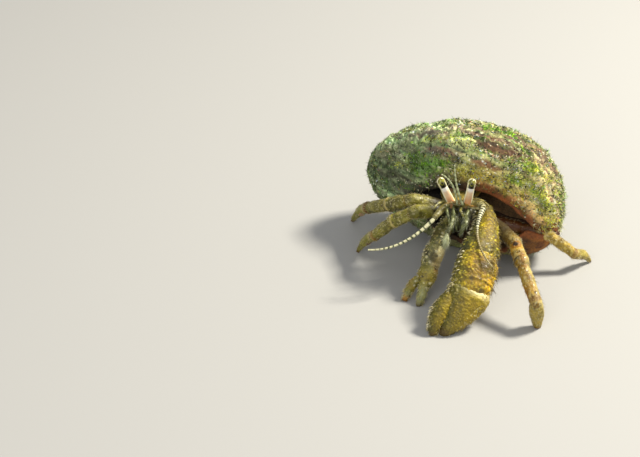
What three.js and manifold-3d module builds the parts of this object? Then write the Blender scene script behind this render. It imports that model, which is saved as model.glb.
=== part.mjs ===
// A hermit crab in an overgrown rock-shell, life size, in millimetres.
// +X is the crab's left, -Y the way it faces and +Z up. It stands on z = 0.
// Every limb is a chain of closed segments that meet at thin cuts.
import * as THREE from "three";
import { mergeVertices } from "three/addons/utils/BufferGeometryUtils.js";
import Module from "manifold-3d";

const wasm = await Module();
wasm.setup();

// ---------- driving dimensions ----------

// The middle of the footprint, which the finished group moves to x = 0, y = 0.
const FOOTPRINT_MIDDLE = [1.28, 3.97];
// Clear space at a cut between two segments of a limb.
const JOINT_GAP = 0.1;
// Clear space left round a body where another one is cut away for it.
const CLEARANCE = 0.12;
// Sides and lengthwise steps of a limb segment.
const LIMB_SIDES = 8;
const LIMB_STEPS = 4;

// The shell's axis runs from its apex end to its siphon end. The four tables
// are its radius above, behind, below and in front of the axis, at five even
// stations; the siphon end is wider above because the last whorl grows there.
const SHELL = {
  apexEnd: [-14.4, 18.6, 9.9],
  siphonEnd: [13.6, 4.2, 6.0],
  above: [9.2, 10.8, 13.0, 15.2, 16.0],
  behind: [8.1, 9.5, 10.8, 11.4, 11.3],
  below: [6.2, 7.4, 7.9, 7.2, 5.8],
  front: [3.4, 4.8, 5.3, 5.5, 5.5],
  endRoundness: 0.8,
  wall: 1.3,
  sutureStart: 0.3, // share of the axis where the last whorl's suture meets the lip
  whorlGrowth: 2.0, // how much each whorl is larger than the one before
  sutureDepth: 0.8,
  sutureWidth: 0.3, // half the groove's width, as a share of a whorl
  chamber: { first: 0.3, last: 0.945, rings: 10, sides: 18 }, // stations of the hollow
  rings: 26,
  sides: 32,
};

// The notch at the siphon end, through which the third left leg comes out.
const SIPHON_NOTCH = {
  from: [9.9, 4.2, 7.1],
  to: [14.9, 2.4, 5.6],
  sizes: [[0, 2.5, 2.5], [1, 3.3, 3.3]],
};

// The mouth of the shell: [station, upper lip angle, lower lip angle] in degrees
// round the axis, with 0 behind, 90 above and 180 in front.
const MOUTH = [
  [0.37, 176, 184],
  [0.42, 164, 198],
  [0.5, 155, 218],
  [0.6, 149, 232],
  [0.7, 150, 238],
  [0.76, 159, 238],
  [0.83, 170, 230],
  [0.9, 168, 226],
  [0.935, 168, 214],
  [0.955, 176, 196],
];

// ---------- small helpers ----------

const vector = (p) => new THREE.Vector3(...p);
const TOWARDS_FRONT = vector([0, -Math.cos(Math.PI / 6), Math.sin(Math.PI / 6)]);
const STRAIGHT_UP = vector([0, 0, 1]);

// The value at s of a table of [s, value, ...] rows, on a smooth curve through them.
function smooth(table, s, column = 1) {
  const last = table.length - 1;
  let i = 0;
  while (i < last - 1 && s >= table[i + 1][0]) i++;
  const slope = (k) => {
    const a = Math.max(k - 1, 0);
    const b = Math.min(k + 1, last);
    return (table[b][column] - table[a][column]) / (table[b][0] - table[a][0]);
  };
  const span = table[i + 1][0] - table[i][0];
  const x = Math.min(Math.max((s - table[i][0]) / span, 0), 1);
  const [a, b] = [table[i][column], table[i + 1][column]];
  return (
    (2 * x ** 3 - 3 * x ** 2 + 1) * a +
    (x ** 3 - 2 * x ** 2 + x) * span * slope(i) +
    (3 * x ** 2 - 2 * x ** 3) * b +
    (x ** 3 - x ** 2) * span * slope(i + 1)
  );
}

// Rings of points, closed at both ends by a pole, as a manifold solid.
function solidFromRings(firstPole, rings, lastPole) {
  const sides = rings[0].length;
  const points = [firstPole, ...rings.flat(), lastPole];
  const faces = [];
  const at = (ring, side) => 1 + ring * sides + (side % sides);
  for (let j = 0; j < sides; j++) {
    faces.push(0, at(0, j + 1), at(0, j));
    for (let i = 0; i < rings.length - 1; i++) {
      faces.push(at(i, j), at(i, j + 1), at(i + 1, j + 1));
      faces.push(at(i, j), at(i + 1, j + 1), at(i + 1, j));
    }
    faces.push(points.length - 1, at(rings.length - 1, j), at(rings.length - 1, j + 1));
  }
  const geometry = new THREE.BufferGeometry().setFromPoints(points);
  geometry.setIndex(faces);
  return toSolid(geometry);
}

function toSolid(geometry) {
  const merged = mergeVertices(geometry, 1e-4);
  const solid = new wasm.Manifold(
    new wasm.Mesh({
      numProp: 3,
      vertProperties: new Float32Array(merged.attributes.position.array),
      triVerts: new Uint32Array(merged.index.array),
    }),
  );
  if (solid.volume() > 0) return solid;
  const turned = merged.index.array.slice();
  for (let i = 0; i < turned.length; i += 3) {
    [turned[i + 1], turned[i + 2]] = [turned[i + 2], turned[i + 1]];
  }
  merged.setIndex(new THREE.BufferAttribute(turned, 1));
  return toSolid(merged);
}

function toMesh(name, solid, material) {
  const { numProp, vertProperties, triVerts } = solid.getMesh();
  const geometry = new THREE.BufferGeometry();
  const position = new THREE.BufferAttribute(new Float32Array(vertProperties), numProp);
  geometry.setAttribute("position", position);
  geometry.setIndex(new THREE.BufferAttribute(new Uint32Array(triVerts), 1));
  geometry.computeVertexNormals();
  const mesh = new THREE.Mesh(geometry, material);
  mesh.name = name;
  return mesh;
}

const DOME_RING = Math.SQRT1_2; // height and radius of the ring halfway up a round end

// A tapering body with round ends, along a curve from one point to another.
// sizes holds [share of the length, width, depth] rows. Depth is measured
// towards `facing`, and `bow` moves the middle of the curve sideways.
function limbSolid({ from, to, bow = [0, 0, 0], sizes, facing = STRAIGHT_UP, grow = 0,
  sides = LIMB_SIDES, steps = LIMB_STEPS }) {
  const [start, end] = [vector(from), vector(to)];
  const middle = start.clone().lerp(end, 0.5).addScaledVector(vector(bow), 2);
  const path = new THREE.QuadraticBezierCurve3(start, middle, end);
  const ring = (s, along, shrink) => {
    const tangent = path.getTangent(s);
    const centre = path.getPoint(s).addScaledVector(tangent, along);
    const across = tangent.clone().cross(facing).normalize();
    const out = across.clone().cross(tangent).normalize();
    const width = (smooth(sizes, s, 1) / 2 + grow) * shrink;
    const depth = (smooth(sizes, s, 2) / 2 + grow) * shrink;
    return Array.from({ length: sides }, (_, j) => {
      const angle = (2 * Math.PI * j) / sides;
      return centre
        .clone()
        .addScaledVector(across, width * Math.cos(angle))
        .addScaledVector(out, depth * Math.sin(angle));
    });
  };
  const domeHeight = (s) => (smooth(sizes, s, 1) + smooth(sizes, s, 2)) / 4 + grow;
  const rings = [ring(0, -DOME_RING * domeHeight(0), DOME_RING)];
  for (let i = 0; i <= steps; i++) rings.push(ring(i / steps, 0, 1));
  rings.push(ring(1, DOME_RING * domeHeight(1), DOME_RING));
  const pole = (s, sign) =>
    path.getPoint(s).addScaledVector(path.getTangent(s), sign * domeHeight(s));
  return solidFromRings(pole(0, -1), rings, pole(1, 1));
}

// Keeps what lies on the far side of a plane through `point`.
function keepBeyond(solid, point, direction, gap = JOINT_GAP / 2) {
  const normal = vector(direction).normalize();
  return solid.trimByPlane(normal.toArray(), normal.dot(vector(point)) + gap);
}

const reverse = (direction) => direction.map((value) => -value);
const between = (a, b) => b.map((value, i) => value - a[i]);
const aboveFloor = (solid) => solid.trimByPlane([0, 0, 1], 0);

// The plane that halves the bend where one segment's end meets the next.
function bendNormal(before, joint, after) {
  const into = vector(between(before, joint)).normalize();
  const onward = vector(between(joint, after)).normalize();
  return into.add(onward).normalize().toArray();
}

// ---------- materials ----------

const finish = (color, roughness) =>
  new THREE.MeshStandardMaterial({ color, roughness, metalness: 0 });
const FINISH = {
  shell: finish(0x6d6f43, 0.9),
  claw: finish(0xb08d3a, 0.5),
  smallClaw: finish(0x9c9466, 0.55),
  leg: finish(0xb39d55, 0.55),
  carapace: finish(0x8c8350, 0.5),
  flesh: finish(0xb98d66, 0.6),
  eyestalk: finish(0xe9c09c, 0.4),
  cornea: finish(0x2a2a18, 0.15),
  feeler: finish(0xc9cba4, 0.5),
};

// ---------- shell ----------

const shellAxis = {
  start: vector(SHELL.apexEnd),
  run: vector(between(SHELL.apexEnd, SHELL.siphonEnd)),
};
shellAxis.toApex = shellAxis.run.clone().negate().normalize();
shellAxis.upwards = STRAIGHT_UP.clone()
  .addScaledVector(shellAxis.toApex, -shellAxis.toApex.z)
  .normalize();
shellAxis.backwards = shellAxis.toApex.clone().cross(shellAxis.upwards);

const axisShare = (station) => (1 - Math.cos(Math.PI * station)) / 2;
const evenTable = (values) => values.map((value, i) => [i / (values.length - 1), value]);
const SHELL_TABLES = Object.fromEntries(
  ["above", "behind", "below", "front"].map((side) => [side, evenTable(SHELL[side])]),
);

// How far the surface is sunk along the spiral suture, from 0 to 1.
function sutureSink(station, degrees) {
  const lip = smooth(MOUTH, Math.max(station, MOUTH[0][0]), 1);
  const behindLip = (((lip - degrees) % 360) + 360) % 360;
  const suture = SHELL.sutureStart * SHELL.whorlGrowth ** (-behindLip / 360);
  const whorls = Math.log(axisShare(station) / suture) / Math.log(SHELL.whorlGrowth);
  if (whorls > 0.5) return 0;
  const toSuture = Math.abs(whorls - Math.round(whorls));
  return Math.max(0, 1 - toSuture / SHELL.sutureWidth) ** 2;
}

// The shell's radius at a station and an angle round its axis.
function shellRadius(station, degrees) {
  const angle = THREE.MathUtils.degToRad(degrees);
  const side = Math.cos(angle) > 0 ? "behind" : "front";
  const level = Math.sin(angle) > 0 ? "above" : "below";
  const across = smooth(SHELL_TABLES[side], station) * Math.cos(angle);
  const upward = smooth(SHELL_TABLES[level], station) * Math.sin(angle);
  const closing = Math.sin(Math.PI * station) ** SHELL.endRoundness;
  return { across: across * closing, upward: upward * closing };
}

// A point on the shell, or at an offset or a share of its radius within it.
function shellPoint(station, degrees, { inwards = 0, share = 1 } = {}) {
  const { across, upward } = shellRadius(station, degrees);
  const radius = Math.hypot(across, upward);
  const sink = SHELL.sutureDepth * sutureSink(station, degrees);
  const scale = (share * Math.max(radius - sink - inwards, 0.05)) / radius;
  return shellAxis.start
    .clone()
    .addScaledVector(shellAxis.run, axisShare(station))
    .addScaledVector(shellAxis.backwards, across * scale)
    .addScaledVector(shellAxis.upwards, upward * scale);
}

function shellSkin({ first = 0, last = 1, rings, sides, inwards = 0 }) {
  const step = (last - first) / rings;
  const stations = Array.from({ length: rings }, (_, i) => first + step * (i + 0.5));
  const ringAt = (station) =>
    Array.from({ length: sides }, (_, j) => shellPoint(station, (360 * j) / sides, { inwards }));
  const pole = (station) =>
    shellAxis.start.clone().addScaledVector(shellAxis.run, axisShare(station));
  return solidFromRings(pole(first), stations.map(ringAt), pole(last));
}

// The wedge that opens the mouth, from halfway to the axis to outside the
// shell. It is wider inside by the lip's bevel, so that the lip's edge is thin.
const LIP_BEVEL = { innerDegrees: 15, outerDegrees: 5, innerShare: 0.5, outerShare: 1.5 };
function mouthCutter(steps = 16, arcSteps = 2) {
  const { innerDegrees: inner, outerDegrees: outer, innerShare, outerShare } = LIP_BEVEL;
  const [first, last] = [MOUTH[0][0], MOUTH[MOUTH.length - 1][0]];
  const rings = Array.from({ length: steps + 1 }, (_, i) => {
    const station = first + ((last - first) * i) / steps;
    const [upper, lower] = [smooth(MOUTH, station, 1), smooth(MOUTH, station, 2)];
    const arc = (share, from, to) =>
      Array.from({ length: arcSteps + 1 }, (_, k) =>
        shellPoint(station, from + ((to - from) * k) / arcSteps, { share }));
    return [
      ...arc(outerShare, upper + outer, lower - outer),
      ...arc(innerShare, lower + inner, upper - inner),
    ];
  });
  const middle = (ring) =>
    ring.reduce((sum, p) => sum.add(p), new THREE.Vector3()).divideScalar(ring.length);
  return solidFromRings(middle(rings[0]), rings, middle(rings[steps]));
}

function makeShell() {
  const outside = shellSkin({ rings: SHELL.rings, sides: SHELL.sides });
  const chamber = shellSkin({ ...SHELL.chamber, inwards: SHELL.wall });
  const columella = limbSolid({
    from: shellPoint(0.25, 270, { share: 0.05 }).toArray(),
    to: shellPoint(0.94, 270, { share: 0.15 }).toArray(),
    bow: [0, 0, -0.8],
    sizes: [[0, 3.4, 3.4], [0.5, 2.2, 2.2], [1, 1.6, 1.6]],
  });
  const solid = outside
    .subtract(chamber.subtract(columella))
    .subtract(mouthCutter())
    .subtract(limbSolid(SIPHON_NOTCH));
  return toMesh("shell", aboveFloor(solid), FINISH.shell);
}

// ---------- body ----------

// The hard shield of the carapace, on top of the softer thorax.
const SHIELD = {
  from: [-1.4, 2.7, 12.05],
  to: [-0.6, 6.6, 11.1],
  sizes: [[0, 3.4, 1.3], [0.4, 4.7, 1.7], [1, 4.0, 1.5]],
  sides: 14,
};
const THORAX = {
  from: [-1.3, 3.0, 10.3],
  to: [-0.4, 7.4, 9.1],
  sizes: [[0, 4.2, 3.0], [0.4, 5.2, 3.7], [1, 4.2, 3.6]],
  sides: 14,
};

// The soft abdomen curls up and back into the shell, over the columella.
const ABDOMEN = [
  { name: "abdomen_front", from: [-0.6, 8.9, 9.9], to: [-2.6, 13.4, 13.2], bow: [0.4, -0.1, 0.7],
    sizes: [[0, 3.8, 3.8], [0.5, 4.6, 4.4], [1, 4.4, 4.2]] },
  { name: "abdomen_rear", from: [-2.6, 13.4, 13.2], to: [-6.4, 15.4, 11.6], bow: [-0.3, 0.2, 0.5],
    sizes: [[0, 4.4, 4.2], [0.5, 3.6, 3.4], [1, 1.8, 1.8]] },
];

// ---------- limbs ----------

// Each limb is [name, joints from the body outwards, segments]. A segment has
// its own name, its [share, width, depth] sizes and, where it is not straight,
// the sideways bow of its middle.
const LIMBS = [
  {
    name: "big_claw",
    finish: FINISH.claw,
    facing: TOWARDS_FRONT,
    joints: [[2.4, 2.9, 10.4], [1.21, -6.0, 8.81], [-0.13, -10.2, 5.81], [-4.1, -14.3, 0.6]],
    segments: [
      { name: "merus", sizes: [[0, 2.6, 3.0], [0.5, 3.6, 3.8], [1, 4.9, 4.3]], bow: [0.5, 0, 0.2] },
      { name: "carpus", sizes: [[0, 4.8, 4.2], [0.5, 6.0, 4.8], [1, 5.6, 4.4]] },
      { name: "hand", bow: [0.45, 0, 0],
        sizes: [[0, 5.2, 4.0], [0.25, 6.2, 4.3], [0.6, 4.6, 3.4], [0.85, 2.9, 2.3], [1, 1.5, 1.4]] },
    ],
    finger: { name: "finger", from: [-2.75, -11.1, 4.9], to: [-6.1, -14.2, 0.4], bow: [-0.45, -0.1, 0.3],
      sizes: [[0, 1.9, 2.6], [0.45, 2.1, 2.4], [0.8, 1.6, 1.6], [1, 1.0, 1.1]] },
  },
  {
    name: "small_claw",
    finish: FINISH.smallClaw,
    facing: TOWARDS_FRONT,
    joints: [[-2.7, 3.0, 9.3], [-4.55, -1.4, 7.8], [-5.7, -2.8, 4.85], [-7.35, -6.6, 0.3]],
    segments: [
      { name: "merus", sizes: [[0, 1.7, 1.9], [0.5, 2.2, 2.2], [1, 2.3, 2.2]] },
      { name: "carpus", sizes: [[0, 2.1, 2.0], [0.5, 2.8, 2.4], [1, 2.6, 2.3]] },
      { name: "hand", bow: [0.1, 0, 0.2],
        sizes: [[0, 2.2, 2.0], [0.28, 2.9, 2.3], [0.5, 2.2, 1.7], [0.62, 1.4, 1.3], [0.85, 1.2, 1.1],
          [1, 0.8, 0.8]] },
    ],
    finger: { name: "finger", from: [-7.5, -4.2, 3.1], to: [-9.4, -5.2, 0.25], bow: [-0.2, 0, 0.15],
      sizes: [[0, 1.3, 1.3], [0.5, 1.3, 1.2], [1, 0.7, 0.7]] },
  },
  {
    name: "leg2_left",
    joints: [[2.9, 4.9, 8.7], [6.38, -4.5, 9.44], [7.01, -8.2, 8.45], [8.78, -13.2, 4.67],
      [9.3, -12.3, 0.25]],
    segments: legSegments({ merus: 2.0, carpus: 2.0, propodus: 1.85, dactyl: 1.7 }),
  },
  {
    name: "leg2_right",
    joints: [[-3.2, 3.6, 10.3], [-8.0, 1.8, 11.04], [-10.9, 3.0, 8.8], [-13.74, 5.0, 5.07],
      [-16.0, 8.8, 0.25]],
    segments: legSegments({ merus: 2.0, carpus: 1.9, propodus: 1.8, dactyl: 1.5 }),
  },
  {
    name: "leg3_left",
    joints: [[2.0, 6.2, 7.5], [8.0, 4.9, 6.6], [12.2, 3.3, 6.4], [16.6, 3.2, 2.9], [19.3, 5.8, 0.25]],
    segments: legSegments({ merus: 1.9, carpus: 1.7, propodus: 1.6, dactyl: 1.35 }),
  },
  {
    name: "leg3_right",
    joints: [[-3.1, 5.6, 9.9], [-8.34, 4.6, 11.5], [-11.4, 7.5, 9.1], [-14.6, 12.0, 6.0],
      [-16.7, 18.3, 0.25]],
    segments: legSegments({ merus: 2.0, carpus: 2.0, propodus: 1.9, dactyl: 1.5 }),
  },
];

function legSegments({ merus, carpus, propodus, dactyl }) {
  const sizes = (start, middle, end) => [[0, start, start], [0.5, middle, middle], [1, end, end]];
  return [
    { name: "merus", sizes: sizes(0.8 * merus, 1.05 * merus, 0.95 * merus) },
    { name: "carpus", sizes: sizes(0.85 * carpus, carpus, 1.05 * carpus) },
    { name: "propodus", sizes: sizes(0.95 * propodus, propodus, 0.9 * propodus) },
    { name: "dactyl", sizes: sizes(0.95 * dactyl, 0.85 * dactyl, 0.38 * dactyl), bow: [0, 0, 0.5] },
  ];
}

// ---------- eyes and feelers ----------

const EYESTALK_CUT = 0.8; // share of the stalk's length where the cornea starts
const EYES = [
  { side: "right", from: [-2.4, 2.5, 12.0], to: [-4.25, 1.65, 16.3] },
  { side: "left", from: [-0.2, 2.3, 12.1], to: [0.3, 1.45, 16.25] },
];
const EYE_SIZES = [[0, 1.4, 1.3], [0.35, 1.3, 1.2], [0.7, 1.2, 1.2], [1, 1.4, 1.4]];

// Thin parts: the ends and the middle of each one's curve, and its thickness
// at the root and the tip.
const FEELERS = [
  { name: "antenna_right_base", from: [-3.2, 2.0, 12.1], middle: [-4.2, 0.6, 11.95],
    to: [-5.07, -0.6, 11.56], root: 1.1, tip: 0.85 },
  { name: "antenna_right_whip", from: [-5.4, -0.95, 11.25], middle: [-9.98, -3.2, 8.67],
    to: [-14.8, -3.4, 7.62], root: 0.75, tip: 0.5 },
  { name: "antenna_left_base", from: [0.9, 2.0, 12.3], middle: [1.6, 0.9, 12.8], to: [1.9, 0.0, 12.95],
    root: 1.2, tip: 1.0 },
  { name: "antenna_left_whip", from: [1.85, -0.75, 12.9], middle: [0.75, -6.2, 11.3], to: [2.5, -10.9, 9.3],
    root: 0.75, tip: 0.5 },
  { name: "antennule_right", from: [-1.75, 1.2, 12.7], middle: [-2.6, 0.5, 16.2], to: [-4.3, -0.6, 18.6],
    root: 0.6, tip: 0.5 },
  { name: "antennule_left", from: [-0.95, 1.1, 12.7], middle: [-2.0, 0.5, 16.2], to: [-2.5, -0.4, 20.0],
    root: 0.6, tip: 0.5 },
  { name: "maxilliped_right", from: [-2.4, 1.0, 11.2], middle: [-2.6, -1.6, 11.3], to: [-3.3, -2.4, 10.2],
    root: 1.0, tip: 0.8 },
  { name: "maxilliped_right_palp", from: [-3.4, -2.6, 9.7], middle: [-3.6, -3.3, 8.9], to: [-3.8, -3.6, 8.1],
    root: 0.9, tip: 0.6 },
  { name: "maxilliped_left", from: [-0.6, 0.9, 11.2], middle: [-0.6, -2.1, 11.3], to: [-1.5, -2.3, 9.5],
    root: 1.0, tip: 0.55 },
];

// The short fourth and fifth legs, which grip the inside of the shell.
const GRIPPING_LEG_TAPER = 0.7;
const GRIPPING_LEGS = [
  { name: "leg4_right", from: [-2.6, 6.8, 8.6], to: [-4.7, 9.4, 8.2], bow: [-0.5, -0.2, 0], thickness: 0.9 },
  { name: "leg4_left", from: [2.0, 7.2, 7.9], to: [4.4, 7.0, 6.2], bow: [0.3, 0.2, 0.3], thickness: 0.9 },
  { name: "leg5_right", from: [-1.9, 8.9, 8.2], to: [-3.2, 11.2, 9.4], bow: [-0.4, 0, 0], thickness: 0.7 },
  { name: "leg5_left", from: [1.6, 8.4, 10.2], to: [2.6, 10.8, 11.2], bow: [0.3, 0, 0], thickness: 0.7 },
];

// ---------- assembly ----------

const group = new THREE.Group();
const shield = limbSolid(SHIELD);
const shieldRoom = limbSolid({ ...SHIELD, grow: CLEARANCE });
const thorax = limbSolid(THORAX).subtract(shieldRoom);
const thoraxRoom = limbSolid({ ...THORAX, grow: CLEARANCE }).add(shieldRoom);

// The room that the bodies placed so far take up, cut out of those that follow.
let taken = thoraxRoom;
function placeRoot(shape) {
  const solid = limbSolid(shape).subtract(taken);
  taken = taken.add(limbSolid({ ...shape, grow: CLEARANCE }));
  return solid;
}

function addLimb({ name, joints, segments, finger, facing = STRAIGHT_UP, finish = FINISH.leg }) {
  segments.forEach((segment, i) => {
    const [from, to] = [joints[i], joints[i + 1]];
    const shape = { ...segment, from, to, facing };
    let solid = i > 0 ? limbSolid(shape) : placeRoot(shape);
    if (i > 0) solid = keepBeyond(solid, from, bendNormal(joints[i - 1], from, to));
    if (i < segments.length - 1) {
      solid = keepBeyond(solid, to, reverse(bendNormal(from, to, joints[i + 2])));
    } else if (finger) {
      solid = solid.subtract(limbSolid({ ...finger, facing, grow: CLEARANCE }));
    }
    group.add(toMesh(`${name}_${segment.name}`, aboveFloor(solid), finish));
  });
  if (finger) {
    const solid = limbSolid({ ...finger, facing });
    group.add(toMesh(`${name}_${finger.name}`, aboveFloor(solid), finish));
  }
}

function addEye({ side, from, to }) {
  const cut = from.map((value, i) => value + EYESTALK_CUT * (to[i] - value));
  const axis = between(from, to);
  const whole = placeRoot({ from, to, sizes: EYE_SIZES, steps: 3 });
  const stalk = keepBeyond(whole, cut, reverse(axis));
  group.add(toMesh(`eyestalk_${side}`, stalk, FINISH.eyestalk));
  group.add(toMesh(`cornea_${side}`, keepBeyond(whole, cut, axis), FINISH.cornea));
}

function addFeeler({ name, from, middle, to, root, tip }) {
  const bow = middle.map((value, i) => value - (from[i] + to[i]) / 2);
  const sizes = [[0, root, root], [1, tip, tip]];
  group.add(toMesh(name, placeRoot({ from, to, bow, sizes, sides: 6 }), FINISH.feeler));
}

function addGrippingLeg({ name, thickness, ...shape }) {
  const tip = GRIPPING_LEG_TAPER * thickness;
  const sizes = [[0, thickness, thickness], [1, tip, tip]];
  const solid = placeRoot({ ...shape, sizes, sides: 6, steps: 2 });
  group.add(toMesh(name, solid, FINISH.leg));
}

function addAbdomen() {
  const [front, rear] = ABDOMEN;
  const bend = bendNormal(front.from, front.to, rear.to);
  const frontSolid = keepBeyond(placeRoot(front), front.to, reverse(bend));
  const rearSolid = keepBeyond(limbSolid(rear), rear.from, bend);
  group.add(toMesh(front.name, frontSolid, FINISH.flesh));
  group.add(toMesh(rear.name, rearSolid, FINISH.flesh));
}

group.add(makeShell());
group.add(toMesh("shield", shield, FINISH.carapace));
group.add(toMesh("thorax", thorax, FINISH.carapace));
addAbdomen();
LIMBS.forEach(addLimb);
EYES.forEach(addEye);
FEELERS.forEach(addFeeler);
GRIPPING_LEGS.forEach(addGrippingLeg);

group.position.set(-FOOTPRINT_MIDDLE[0], -FOOTPRINT_MIDDLE[1], 0);

export default group;
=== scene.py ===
"""A live hermit crab that walks in an overgrown rock-shell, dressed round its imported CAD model.

Lengths are in millimetres in the part's construction frame until to_metres() turns them into metres.
The stage is in metres from the start. +X is the crab's left, -Y the way it faces and +Z up."""

import itertools
import math
from types import SimpleNamespace

import bpy
import numpy as np
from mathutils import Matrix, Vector


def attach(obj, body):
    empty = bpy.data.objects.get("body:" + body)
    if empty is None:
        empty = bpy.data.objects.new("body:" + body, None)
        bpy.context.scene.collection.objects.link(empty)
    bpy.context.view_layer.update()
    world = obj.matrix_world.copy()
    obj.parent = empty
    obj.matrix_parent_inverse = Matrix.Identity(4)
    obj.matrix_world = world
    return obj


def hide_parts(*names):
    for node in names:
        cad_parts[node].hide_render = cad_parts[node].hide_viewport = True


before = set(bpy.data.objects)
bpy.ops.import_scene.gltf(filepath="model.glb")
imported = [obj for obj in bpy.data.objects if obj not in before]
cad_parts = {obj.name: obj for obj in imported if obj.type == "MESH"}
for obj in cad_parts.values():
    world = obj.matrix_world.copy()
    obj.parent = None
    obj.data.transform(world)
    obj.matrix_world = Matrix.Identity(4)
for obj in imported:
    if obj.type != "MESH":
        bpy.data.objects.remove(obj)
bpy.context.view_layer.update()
random = np.random.default_rng(20)

# ---------- driving dimensions, the same as the solids' ----------

FOOTPRINT_MIDDLE = np.array([1.28, 3.97, 0.0])
UP = np.array([0.0, 0.0, 1.0])
LEFT = np.array([1.0, 0.0, 0.0])
FRONT_ABOVE = np.array([0.0, -math.cos(math.pi / 6), math.sin(math.pi / 6)])

SHELL_START = np.array([-14.4, 18.6, 9.9])
SHELL_END = np.array([13.6, 4.2, 6.0])
# How far the shell reaches to each side of its axis, at five even stations from the apex.
SHELL_RADII = {
    "above": [9.2, 10.8, 13.0, 15.2, 16.0],
    "behind": [8.1, 9.5, 10.8, 11.4, 11.3],
    "below": [6.2, 7.4, 7.9, 7.2, 5.8],
    "front": [3.4, 4.8, 5.3, 5.5, 5.5],
}
SHELL_ROUNDNESS = 0.8
SUTURE_START = 0.3
WHORL_GROWTH = 2.0
CORDS = 8  # spiral cords on each whorl
GROWTH_LINES = 44  # round each turn
# [station, upper lip, lower lip], with the siphon's notch at the far end.
MOUTH = [
    [0.355, 180, 180], [0.38, 174, 186], [0.42, 165, 198], [0.5, 157, 218], [0.6, 153, 232],
    [0.67, 155, 236], [0.705, 157, 226], [0.735, 160, 200], [0.765, 163, 180], [0.8, 167, 176],
    [0.85, 171, 177], [0.9, 170, 177], [0.93, 160, 188], [0.955, 146, 236], [0.98, 132, 268],
]

# The root of each limb, then the end of each of its segments.
JOINTS = {
    "big_claw": [[2.4, 2.9, 10.4], [1.21, -6.0, 8.81], [-0.13, -10.2, 5.81], [-4.1, -14.3, 0.6]],
    "small_claw": [[-2.7, 3.0, 9.3], [-4.55, -1.4, 7.8], [-5.7, -2.8, 4.85], [-7.35, -6.6, 0.3]],
    "leg2_left": [[2.9, 4.9, 8.7], [6.38, -4.5, 9.44], [7.01, -8.2, 8.45], [8.78, -13.2, 4.67],
                  [9.3, -12.3, 0.25]],
    "leg2_right": [[-3.2, 3.6, 10.3], [-8.0, 1.8, 11.04], [-10.9, 3.0, 8.8], [-13.74, 5.0, 5.07],
                   [-16.0, 8.8, 0.25]],
    "leg3_left": [[2.0, 6.2, 7.5], [8.0, 4.9, 6.6], [12.2, 3.3, 6.4], [16.6, 3.2, 2.9],
                  [19.3, 5.8, 0.25]],
    "leg3_right": [[-3.1, 5.6, 9.9], [-8.34, 4.6, 11.5], [-11.4, 7.5, 9.1], [-14.6, 12.0, 6.0],
                   [-16.7, 18.3, 0.25]],
}
LEG_WIDTHS = {
    "leg2_left": (2.0, 2.0, 1.85, 1.7),
    "leg2_right": (2.0, 1.9, 1.8, 1.5),
    "leg3_left": (1.9, 1.7, 1.6, 1.35),
    "leg3_right": (2.0, 2.0, 1.9, 1.5),
}
# The widths of each leg segment at its start, middle and end, as shares of the leg's own.
LEG_PARTS = {
    "merus": (0.8, 1.05, 0.95),
    "carpus": (0.85, 1.0, 1.05),
    "propodus": (0.95, 1.0, 0.9),
    "dactyl": (0.98, 0.98, 0.42),
}
LEG_MESH = (66, 48)  # rings and sides of each leg segment

# ---------- numbers into shapes ----------


def unit(v):
    v = np.asarray(v, float)
    return v / np.maximum(np.linalg.norm(v, axis=-1, keepdims=True), 1e-12)


def smooth(table, s, column=1):
    """The value at s of a table of [s, value, ...] rows, on a smooth curve through them."""
    at, value = np.array([[row[0], row[column]] for row in table], float).T
    index = np.arange(len(at))
    below, above = np.maximum(index - 1, 0), np.minimum(index + 1, len(at) - 1)
    slope = (value[above] - value[below]) / (at[above] - at[below])
    s = np.clip(np.asarray(s, float), at[0], at[-1])
    i = np.clip(np.searchsorted(at, s, side="right") - 1, 0, len(at) - 2)
    span = at[i + 1] - at[i]
    x = (s - at[i]) / span
    return (
        (2 * x**3 - 3 * x**2 + 1) * value[i]
        + (x**3 - 2 * x**2 + x) * span * slope[i]
        + (3 * x**2 - 2 * x**3) * value[i + 1]
        + (x**3 - x**2) * span * slope[i + 1]
    )


def step(low, high, x):
    """0 below low, 1 above high and a smooth rise between."""
    t = np.clip((np.asarray(x, float) - low) / (high - low), 0, 1)
    return t * t * (3 - 2 * t)


def hump(x, middle, width):
    return np.exp(-(((np.asarray(x, float) - middle) / width) ** 2))


def hashed(cell, seed):
    """A number in 0..1 for each whole-number cell."""
    wave = np.sin(cell @ np.array([127.1, 311.7, 74.7]) + 17.3 * seed) * 43758.5453
    return wave - np.floor(wave)


def noise(points, size, seed=0):
    """Smooth noise in -1..1, with features about `size` mm across (one size, or one for each axis).

    Each seed gives another pattern."""
    q = points / np.asarray(size, float) + 0.37 * seed
    low = np.floor(q)
    f = q - low
    f = f * f * (3 - 2 * f)
    total = 0
    for corner in itertools.product((0, 1), repeat=3):
        weight = np.prod(np.where(corner, f, 1 - f), axis=-1)
        total = total + weight * hashed(low + corner, seed)
    return 2 * total - 1


def cells(points, size, seed=0):
    """How far each point is from the nearest of scattered spots, in sizes, and that spot's own number."""
    q = points / size
    low = np.floor(q)
    nearest = np.full(points.shape[:-1], 9.0)
    own = np.zeros(points.shape[:-1])
    for corner in itertools.product((-1, 0, 1), repeat=3):
        cell = low + corner
        spot = cell + np.stack([hashed(cell, seed + k) for k in (1, 2, 3)], axis=-1)
        gap = np.linalg.norm(q - spot, axis=-1)
        own = np.where(gap < nearest, hashed(cell, seed + 4), own)
        nearest = np.minimum(nearest, gap)
    return nearest, own


def granules(points, size, height, seed=0):
    """Raised round grains about `size` apart."""
    gap, own = cells(points, size, seed)
    return height * (0.4 + 0.6 * own) * np.clip(1 - (gap / 0.55) ** 2, 0, 1)


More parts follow.
